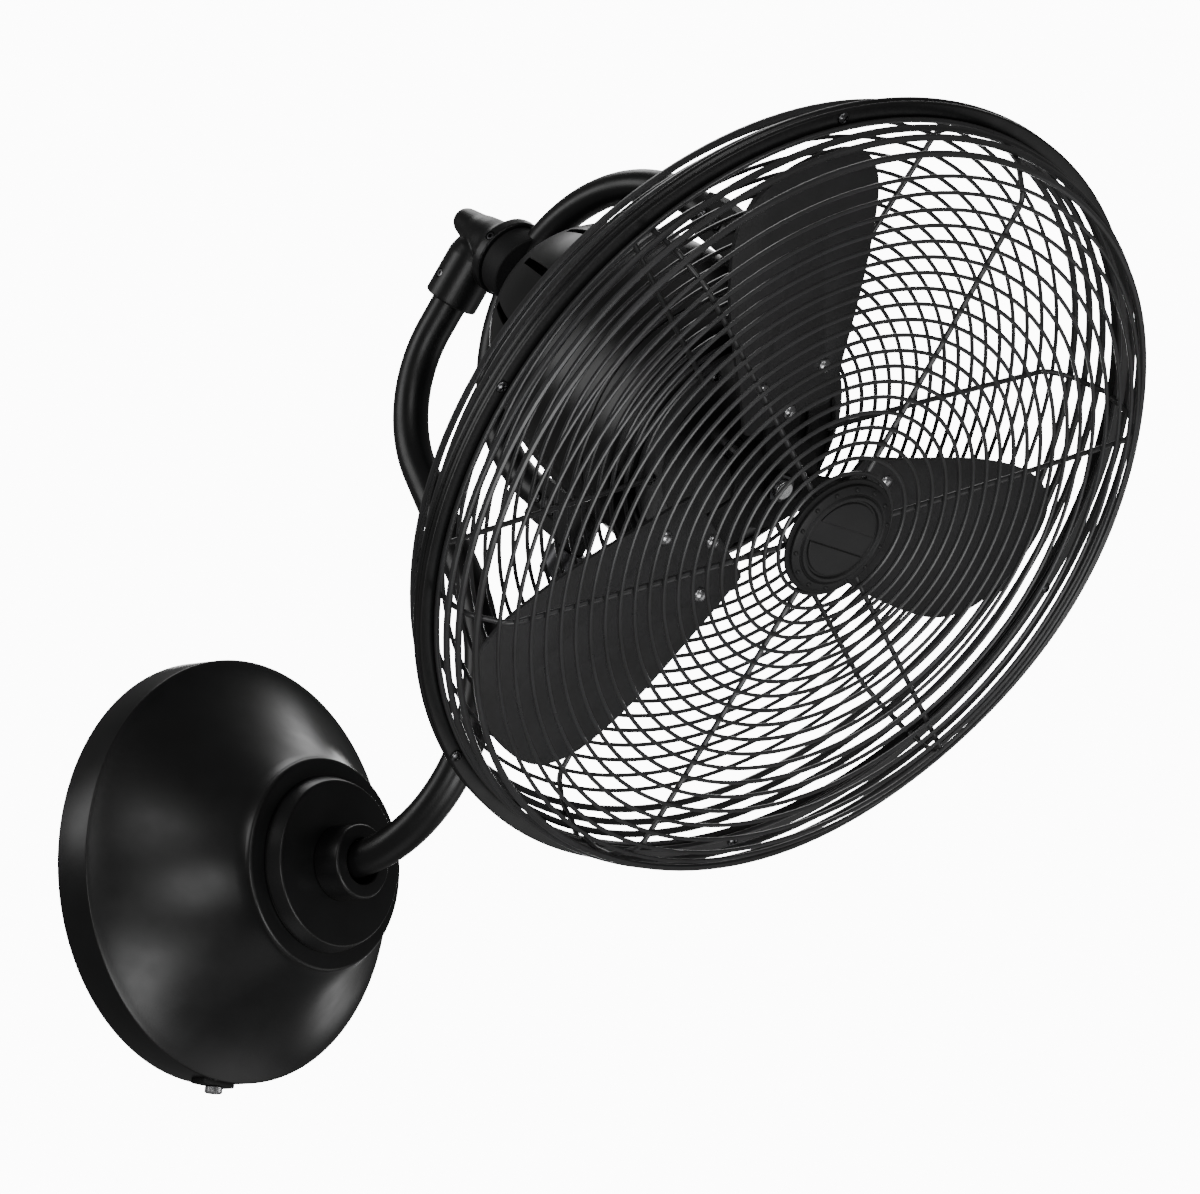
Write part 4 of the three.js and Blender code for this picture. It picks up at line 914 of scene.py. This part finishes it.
def ears():
    """The motor's two round ears, which the pivot bolts pass through."""
    bore = PIVOT_R + RUNNING
    foot = EAR_FOOT + 3
    form = Form()
    for turn in (TO_PLUS_Y, TO_MINUS_Y):
        profile = filleted([
            (bore, foot, 0), (EAR_R, foot, 0), (EAR_R, EAR_TOP, 0.5), (bore, EAR_TOP, 0.3),
        ], 4)
        form.join(Form().lathe(profile, 40).moved(Matrix.Translation((0, 0, PIVOT_STATION)) @ turn))
    return made("motor_ears", form, FAN)


def motor_cover():
    inner = MOTOR_R - MOTOR_WALL
    face_back = COVER_FACE - MOTOR_WALL
    profile = filleted([
        (inner, SEAM + 0.5, 0.2), (MOTOR_R, SEAM + 0.5, 0.6), (MOTOR_R, COVER_SHOULDER, 4),
        (COVER_FACE_R, COVER_FACE, 3), (COVER_HOLE_R, COVER_FACE, 0.4), (COVER_HOLE_R, BEARING_SEAT_FRONT, 0),
        (BEARING_SEAT_R, BEARING_SEAT_FRONT, 0), (BEARING_SEAT_R, BEARING_SEAT_BACK, 0),
        (BEARING_BOSS_R, BEARING_SEAT_BACK, 0), (BEARING_BOSS_R, face_back, 0),
        (COVER_FACE_R - 2, face_back, 0), (inner, COVER_SHOULDER - 1, 0),
    ], 6)
    return made("motor_front", Form().lathe(profile, 144), FAN)


dress(motor_housing(), SATIN, "head", "motor_housing")
dress(ears(), SATIN, "head")
dress(motor_cover(), SATIN, "head", "motor_cover")


# ---- Guard --------------------------------------------------------------------------------------


def front_at(radius):
    return FRONT_FLAT + FRONT_CROWN * (1 - (radius / FLAT_REACH) ** 2)


def rear_at(radius):
    return REAR_FLAT - REAR_DISH * (1 - (radius / FLAT_REACH) ** 2)


def face_rings(form, count, first, station_at):
    for k in range(count):
        radius = first + k * RING_PITCH
        sections = 72 if radius < 90 else 120
        form.ring(radius, station_at(radius), RING_WIRE, sections, 8)


def side_hoops(form, hoops):
    for k, (radius, station) in enumerate(hoops):
        form.wavy_ring(radius, station, HOOP_WIRE, HOOP_WAVE, 0.9 * k)


def spokes(form, line, bends):
    """A bent wire over the face, round the shoulder and down the side, repeated for each spoke."""
    for degrees in round_angles(SPOKE_COUNT):
        corners = [(at_angle(degrees, r, s), bend) for (r, s), bend in zip(line, bends)]
        form.tube(bent(corners, 7), SPOKE_WIRE, 10)


def front_grille():
    form = Form()
    back_off = RING_WIRE + SPOKE_WIRE - 0.5
    face_rings(form, FRONT_RINGS, FRONT_FIRST_RING, front_at)
    for radius, station in FRONT_SHOULDER:
        form.ring(radius, station, RING_WIRE, 144, 8)
    side_hoops(form, FRONT_HOOPS)
    form.ring(*FRONT_SEAT, SPOKE_WIRE, 144, 10)
    line = [
        (24, front_at(0) - back_off), (120, front_at(120) - back_off), (211, FRONT_FLAT - back_off - 0.8),
        (225.6, 20), (228.4, 9), (FRONT_SEAT[0] - 2.6, FRONT_SEAT[1] - 0.6),
    ]
    spokes(form, line, [0, 400, 13, 8, 12, 0])
    boss = filleted([
        (0, BOSS_BACK, 0), (BOSS_R, BOSS_BACK, 0.8), (BOSS_R, BOSS_FRONT, 0.8), (0, BOSS_FRONT, 0),
    ], 4, closed=False)
    form.lathe(boss, 72, False)
    return made("front_guard", form, FAN)


def rear_grille():
    form = Form()
    forward = RING_WIRE + SPOKE_WIRE - 0.5
    face_rings(form, REAR_RINGS, REAR_FIRST_RING, rear_at)
    for radius, station in REAR_SHOULDER:
        form.ring(radius, station, RING_WIRE, 144, 8)
    side_hoops(form, REAR_HOOPS)
    form.ring(*REAR_RIM, SPOKE_WIRE, 144, 10)
    line = [
        (60, rear_at(60) + forward + 0.4), (130, rear_at(130) + forward), (212, REAR_FLAT + forward + 0.8),
        (222.6, -30), (226.4, -17), (REAR_RIM[0] - 2.4, REAR_RIM[1] + 0.4),
    ]
    spokes(form, line, [0, 400, 11, 10, 12, 0])
    plate = filleted([
        (PLATE_INNER_R, PLATE_BACK, 0.4), (PLATE_R, PLATE_BACK, 0.4),
        (PLATE_R, PLATE_FRONT, 0.6), (PLATE_INNER_R, PLATE_FRONT, 0.6),
    ], 3)
    form.lathe(plate, 96)
    return made("rear_guard", form, FAN)


def lugs():
    """The tabs of the back grille that the guard's screws go through."""
    form = Form()
    for degrees in round_angles(SPOKE_COUNT, GUARD_SCREW_PHASE):
        tab = Form().block((-LUG_HALF_WIDTH, LUG_INNER, LUG_BACK), (LUG_HALF_WIDTH, LUG_OUTER, LUG_FRONT))
        form.join(tab.moved(Matrix.Rotation(math.radians(-degrees), 4, "Z")))
    return bevelled(made("guard_lugs", form, FAN), 0.4, 2)


def guard_ring():
    face_back = GUARD_FACE - GUARD_SHEET
    profile = filleted([
        (GUARD_INNER_R, GUARD_FACE - 5, 0.3),
        (GUARD_INNER_R, GUARD_FACE, 1.0),
        (GUARD_R, GUARD_FACE, 1.0),
        (GUARD_R, GROOVE + 1.6, 1.4),
        (GUARD_R - 1.3, GROOVE, 0.1),
        (GUARD_R, GROOVE - 0.9, 0.8),
        (GUARD_R, GUARD_BACK, 1.4),
        (GUARD_R - GUARD_SHEET - 0.7, GUARD_BACK, 0.3),
        (GUARD_R - GUARD_SHEET - 0.7, GROOVE - 1.2, 0.3),
        (GUARD_R - GUARD_SHEET - 1.4, GROOVE - 0.4, 0.3),
        (GUARD_R - GUARD_SHEET - 1.4, face_back, 0.3),
        (GUARD_INNER_R + GUARD_SHEET, face_back, 0.4),
        (GUARD_INNER_R + GUARD_SHEET, GUARD_FACE - 5, 0.3),
    ], 5)
    return made("guard_band", Form().lathe(profile, 240), FAN)


def badge():
    """A plain round badge: a studded rim and a raised ring round a flat middle."""
    back = BADGE_BACK + 1.7
    top = BADGE_BACK + 4
    profile = filleted([
        (0, back, 0), (BADGE_R, back, 0.2), (BADGE_R, top - 0.6, 0.5), (28.6, top + 0.7, 0.6),
        (27.4, top - 0.4, 0.3), (26.6, top + 1.3, 0.5), (24.6, top + 1.3, 0.5), (24, top - 0.2, 0.3),
        (0, top - 0.2, 0),
    ], 4, closed=False)
    form = Form().lathe(profile, 128, False)
    for degrees in round_angles(BADGE_STUDS, 8):
        stud = Form().lathe([(0, 0), (1.4, 0), (1.3, 0.5), (1.0, 1.0), (0.5, 1.3), (0, 1.4)], 16, False)
        form.join(stud.moved(Matrix.Translation(at_angle(degrees, STUD_CIRCLE, top - 0.1))))
    return made("hub_badge", form, FAN)


def badge_plate():
    """The lower disc behind the badge."""
    front = BADGE_BACK + 1.5
    profile = filleted([
        (0, BADGE_BACK, 0), (BADGE_PLATE_R, BADGE_BACK, 0.3), (BADGE_PLATE_R, front, 0.5), (0, front, 0),
    ], 4, closed=False)
    return made("badge_plate", Form().lathe(profile, 128, False), FAN)


def badge_panels():
    """Two raised, bare D-shaped panels, with a bare bar between them."""
    top = BADGE_BACK + 3.8
    low = math.asin(BAR_HALF_WIDTH / PANEL_R)
    arc = [low + (math.pi - 2 * low) * k / 40 for k in range(41)]
    form = Form()
    for side in (1, -1):
        form.prism([(PANEL_R * math.cos(a), side * PANEL_R * math.sin(a)) for a in arc], top - 1, top + 1.0)
    return bevelled(made("badge_panels", form, FAN), 0.7, 4, 50)


def guard():
    """The whole guard; each screw's recess is left at an angle of its own."""
    dress(front_grille(), WIRE, "head", "front_grille")
    dress(rear_grille(), WIRE, "head", "rear_grille")
    dress(lugs(), WIRE, "head")
    dress(guard_ring(), SATIN, "head", "guard_ring")
    dress(badge(), PLASTIC, "head", "badge")
    dress(badge_plate(), TEXTURED, "head")
    dress(badge_panels(), PLASTIC, "head")
    for i, degrees in enumerate(round_angles(SPOKE_COUNT, GUARD_SCREW_PHASE)):
        turn = Matrix.Rotation(math.radians(20 + 47 * i), 4, "Z")
        place = Matrix.Translation(at_angle(degrees, GUARD_SCREW_CIRCLE, GUARD_FACE + 0.05)) @ turn
        name = f"guard_screw_{i + 1}"
        dress(placed_copy(GUARD_SCREW, name + "_skin", in_fan(place)), BLACKENED, "head", name)
    for i, degrees in enumerate(round_angles(GRILLE_SCREWS, GRILLE_SCREW_PHASE)):
        turn = Matrix.Rotation(math.radians(35 * i), 4, "Z")
        place = Matrix.Translation(at_angle(degrees, GRILLE_SCREW_CIRCLE, PLATE_FRONT + 0.05)) @ turn
        name = f"grille_screw_{i + 1}"
        dress(placed_copy(GRILLE_SCREW, name + "_skin", in_fan(place)), BLACKENED, "head", name)


guard()


# ---- What spins ---------------------------------------------------------------------------------


def on_blade(degrees):
    """Blade frame: x out along the blade, y across it to the leading edge, z to the front."""
    turn = Matrix.Rotation(math.radians(90 - degrees), 4, "Z")
    pitch = Matrix.Rotation(math.radians(BLADE_PITCH), 4, "X")
    return Matrix.Translation((0, 0, BLADE_STATION)) @ turn @ pitch


def blade_outline():
    shoulder = BLADE_ROOT + 4
    trailing = -BLADE_TRAILING_HALF
    leading = BLADE_LEADING_HALF
    root = BLADE_ROOT_HALF
    belly = BLADE_BELLY
    tip = BLADE_TIP
    curves = (
        ((shoulder, -root), (shoulder + 50, -root - 10), (belly - 40, trailing), (belly, trailing)),
        ((belly, trailing), (tip - 12, trailing), (tip, trailing + BLADE_CORNER / 2), (tip, 0)),
        ((tip, 0), (tip, leading - BLADE_CORNER / 2), (tip - 14, leading), (belly, leading)),
        ((belly, leading), (belly - 40, leading), (shoulder + 50, root + 11), (shoulder, root)),
    )
    line = [(BLADE_ROOT, -root + 4), (BLADE_ROOT + 1.2, -root + 1.2), (shoulder, -root)]
    for curve in curves:
        line += curve_points(*curve, 20)
    return line + [(BLADE_ROOT + 1.2, root - 1.2), (BLADE_ROOT, root - 4)]


def blade_pattern():
    """A flat plate with its leading edge bent back along a straight crease."""
    edit = bmesh.new()
    verts = [edit.verts.new((x, y, 0)) for x, y in blade_outline()]
    edit.faces.new(verts)
    creases = [BLADE_CREASE + 0.8 * k for k in (-2, -1, 0, 1, 2)]
    for y in creases:
        everything = edit.verts[:] + edit.edges[:] + edit.faces[:]
        bmesh.ops.bisect_plane(edit, geom=everything, plane_co=(0, y, 0), plane_no=(0, 1, 0))
    slope = math.tan(math.radians(BLADE_BEND))
    for vert in edit.verts:
        past = vert.co.y - creases[0]
        if past <= 0:
            continue
        width = creases[-1] - creases[0]
        eased = past * past / (2 * width) if past < width else past - width / 2
        vert.co.z = -slope * eased
    mesh = bpy.data.meshes.new("blade_pattern")
    edit.to_mesh(mesh)
    edit.free()
    mesh.transform(WORLD)
    blade = bpy.data.objects.new("blade_pattern", mesh)
    bpy.context.scene.collection.objects.link(blade)
    thick = blade.modifiers.new("thick", "SOLIDIFY")
    thick.thickness = BLADE_THICKNESS * MM
    thick.offset = 0
    bpy.context.view_layer.update()
    settled(blade)
    holes = Form()
    for out, across in BLADE_SCREWS:
        holes.join(Form().rod(2 + RUNNING, -5, 5, 20).moved(Matrix.Translation((out, across, 0))))
    combined(blade, made("blade_tool", holes, WORLD), "DIFFERENCE")
    return bevelled(blade, 0.8, 3, 50)


def dome_screw():
    """A plain round-headed screw; z points out of its head."""
    radius = 4.4
    height = 2.6
    dome = [(radius * math.cos(a), height * math.sin(a)) for a in (math.pi / 2 * k / 10 for k in range(11))]
    profile = [(0, -6.6), (2, -6.6), (2, 0), (radius * 0.97, 0)] + dome[:-1] + [(0, height)]
    return made("dome_screw_pattern", Form().lathe(profile, 32, False), WORLD, 35)


def spider():
    """The hub on the shaft, with an arm behind each blade."""
    front = BLADE_STATION - BLADE_THICKNESS / 2 - 1.3
    back = front - 2.5
    bore = SHAFT_R + SEAT
    hub = filleted([
        (bore, back - 22, 0.3), (14, back - 22, 0.8), (14, back - 2, 2),
        (29, back, 0.4), (29, front, 0.6), (bore, front, 0.3),
    ], 4)
    body = made("spider", Form().lathe(hub, 64), FAN)
    outline = [(x, -y) for x, y in SPIDER_ARM] + SPIDER_ARM[::-1]
    arm_front = -BLADE_THICKNESS / 2 - SEAT
    for degrees in BLADE_ANGLES:
        plate = Form().prism(outline, arm_front - 2.5, arm_front).moved(on_blade(degrees))
        combined(body, made("spider_tool", plate, FAN), "UNION")
    return bevelled(body, 0.5, 2, 50)


def what_spins():
    blade = blade_pattern()
    dome = dome_screw()
    for k, degrees in enumerate(BLADE_ANGLES):
        place = on_blade(degrees)
        name = f"blade_{k + 1}"
        dress(placed_copy(blade, name + "_skin", in_fan(place)), BLADE, "rotor", name)
        for i, (out, across) in enumerate(BLADE_SCREWS):
            at = place @ Matrix.Translation((out, across, BLADE_THICKNESS / 2 + 0.05))
            screw = f"{name}_screw_{i + 1}"
            dress(placed_copy(dome, screw + "_skin", in_fan(at)), STEEL, "rotor", screw)
    dress(spider(), TEXTURED, "rotor", "blade_spider")
    shaft = filleted([
        (0, SHAFT_BACK, 0), (SHAFT_R, SHAFT_BACK, 0.8), (SHAFT_R, SHAFT_FRONT, 1.0), (0, SHAFT_FRONT, 0),
    ], 4, closed=False)
    dress(made("shaft", Form().lathe(shaft, 40, False), FAN), STEEL, "rotor", "motor_shaft")
    bpy.data.objects.remove(blade)
    bpy.data.objects.remove(dome)


what_spins()
for pattern in (GUARD_SCREW, GRILLE_SCREW, YOKE_SCREW):
    bpy.data.objects.remove(pattern)

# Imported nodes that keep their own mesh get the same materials.
KEPT = {
    "wall_bracket": DARK_STEEL,
    "arm_lock_nut": DARK_STEEL,
    "stator": WINDING,
    "motor_rotor": DARK_STEEL,
    "rear_bearing": STEEL,
    "front_bearing": STEEL,
    "hub_nut": DARK_STEEL,
}
for node, look in KEPT.items():
    kept = frame["nodes"][node]
    kept.data.materials.clear()
    kept.data.materials.append(look)


# ---- Stage, light and camera --------------------------------------------------------------------

FLOOR_HEIGHT = -2.2  # metres
FLOOR_R = 800
AIM = Vector((0.1202, -0.1839, 0.1765))
CAMERA_AZIMUTH = 47.1
CAMERA_RISE = 11.9
CAMERA_ROLL = 4.3
CAMERA_DISTANCE = 3.8443
LENS = 195
CENTRE = Vector((0, -0.3, 0.2))  # what the lights face
ROOM_LIGHT = 0.11
SCREEN_LIGHT = 12.0
SCREEN_CORE = 8  # degrees from the middle of the bright screen
SCREEN_EDGE = 11

# Name, way from the fan, distance, width and height, brightness.
LIGHTS = (
    ("overhead", (0.62, 0.45, 0.62), 2.4, (0.9, 0.8), 2.2),
    ("top", (0.25, 0.50, 0.82), 2.4, (1.0, 0.8), 3),
    ("front", (-0.22, -0.95, 0.19), 3.0, (0.7, 1.0), 5),
    ("left front", (-0.76, -0.61, 0.24), 2.4, (0.9, 0.8), 2.5),
    ("low left", (-0.83, -0.38, -0.41), 2.4, (1.0, 0.9), 3.6),
    ("low front", (-0.12, -0.68, -0.72), 2.2, (1.3, 0.8), 4.8),
    ("right", (0.89, 0.39, -0.24), 2.4, (0.5, 0.6), 1.2),
    ("left", (-0.75, 0.6, 0.25), 2.6, (0.9, 1.6), 2.8),
    ("under", (0.717, -0.408, -0.566), 2.6, (1.6, 1.3), 0.8),
)


def looking(azimuth, rise):
    a = math.radians(azimuth)
    e = math.radians(rise)
    return Vector((math.cos(e) * math.sin(a), math.cos(e) * math.cos(a), math.sin(e)))


def camera():
    ahead = looking(CAMERA_AZIMUTH, CAMERA_RISE)
    right = ahead.cross(Vector((0, 0, 1))).normalized()
    up = right.cross(ahead)
    roll = math.radians(CAMERA_ROLL)
    cos, sin = math.cos(roll), math.sin(roll)
    right, up = right * cos + up * sin, up * cos - right * sin
    data = bpy.data.cameras.new("camera")
    data.sensor_fit = "HORIZONTAL"
    data.sensor_width = 36
    data.lens = LENS
    data.clip_end = 50
    obj = bpy.data.objects.new("camera", data)
    turn = Matrix((right, up, -ahead)).transposed().to_4x4()
    obj.matrix_world = Matrix.Translation(AIM - ahead * CAMERA_DISTANCE) @ turn
    bpy.context.scene.collection.objects.link(obj)
    bpy.context.scene.camera = obj


def soft_light(name, direction, distance, size, brightness):
    """A rectangular soft box that faces the fan; its brightness is per square metre."""
    data = bpy.data.lights.new(name, "AREA")
    data.shape = "RECTANGLE"
    data.size, data.size_y = size
    data.energy = brightness * math.pi * size[0] * size[1]
    away = Vector(direction).normalized()
    obj = bpy.data.objects.new(name, data)
    obj.location = CENTRE + away * distance
    obj.rotation_euler = (-away).to_track_quat("-Z", "Z").to_euler()
    bpy.context.scene.collection.objects.link(obj)


def floor():
    top = FLOOR_HEIGHT / MM
    slab = made("floor", Form().rod(FLOOR_R, top - 20, top, 96))
    pale, shader = material("floor_white", (0.9, 0.9, 0.9), 0.8)
    tint(pale.node_tree, shader, noise(pale.node_tree, 3, 2), (0.86, 0.86, 0.86), (0.92, 0.92, 0.92))
    slab.data.materials.append(pale)


def studio():
    """A dim room with one bright screen far behind the fan."""
    world = bpy.data.worlds.new("studio")
    world.use_nodes = True
    tree = world.node_tree
    place = tree.nodes.new("ShaderNodeTexCoord")
    facing = tree.nodes.new("ShaderNodeVectorMath")
    facing.operation = "DOT_PRODUCT"
    facing.inputs[1].default_value = looking(CAMERA_AZIMUTH, CAMERA_RISE)
    screen = tree.nodes.new("ShaderNodeMapRange")
    screen.interpolation_type = "SMOOTHSTEP"
    screen.inputs["From Min"].default_value = math.cos(math.radians(SCREEN_EDGE))
    screen.inputs["From Max"].default_value = math.cos(math.radians(SCREEN_CORE))
    screen.inputs["To Min"].default_value = ROOM_LIGHT
    screen.inputs["To Max"].default_value = SCREEN_LIGHT
    background = tree.nodes["Background"]
    background.inputs["Color"].default_value = (1, 1, 1, 1)
    tree.links.new(place.outputs["Generated"], facing.inputs[0])
    tree.links.new(facing.outputs["Value"], screen.inputs["Value"])
    tree.links.new(screen.outputs["Result"], background.inputs["Strength"])
    bpy.context.scene.world = world


camera()
studio()
floor()
for light in LIGHTS:
    soft_light(*light)
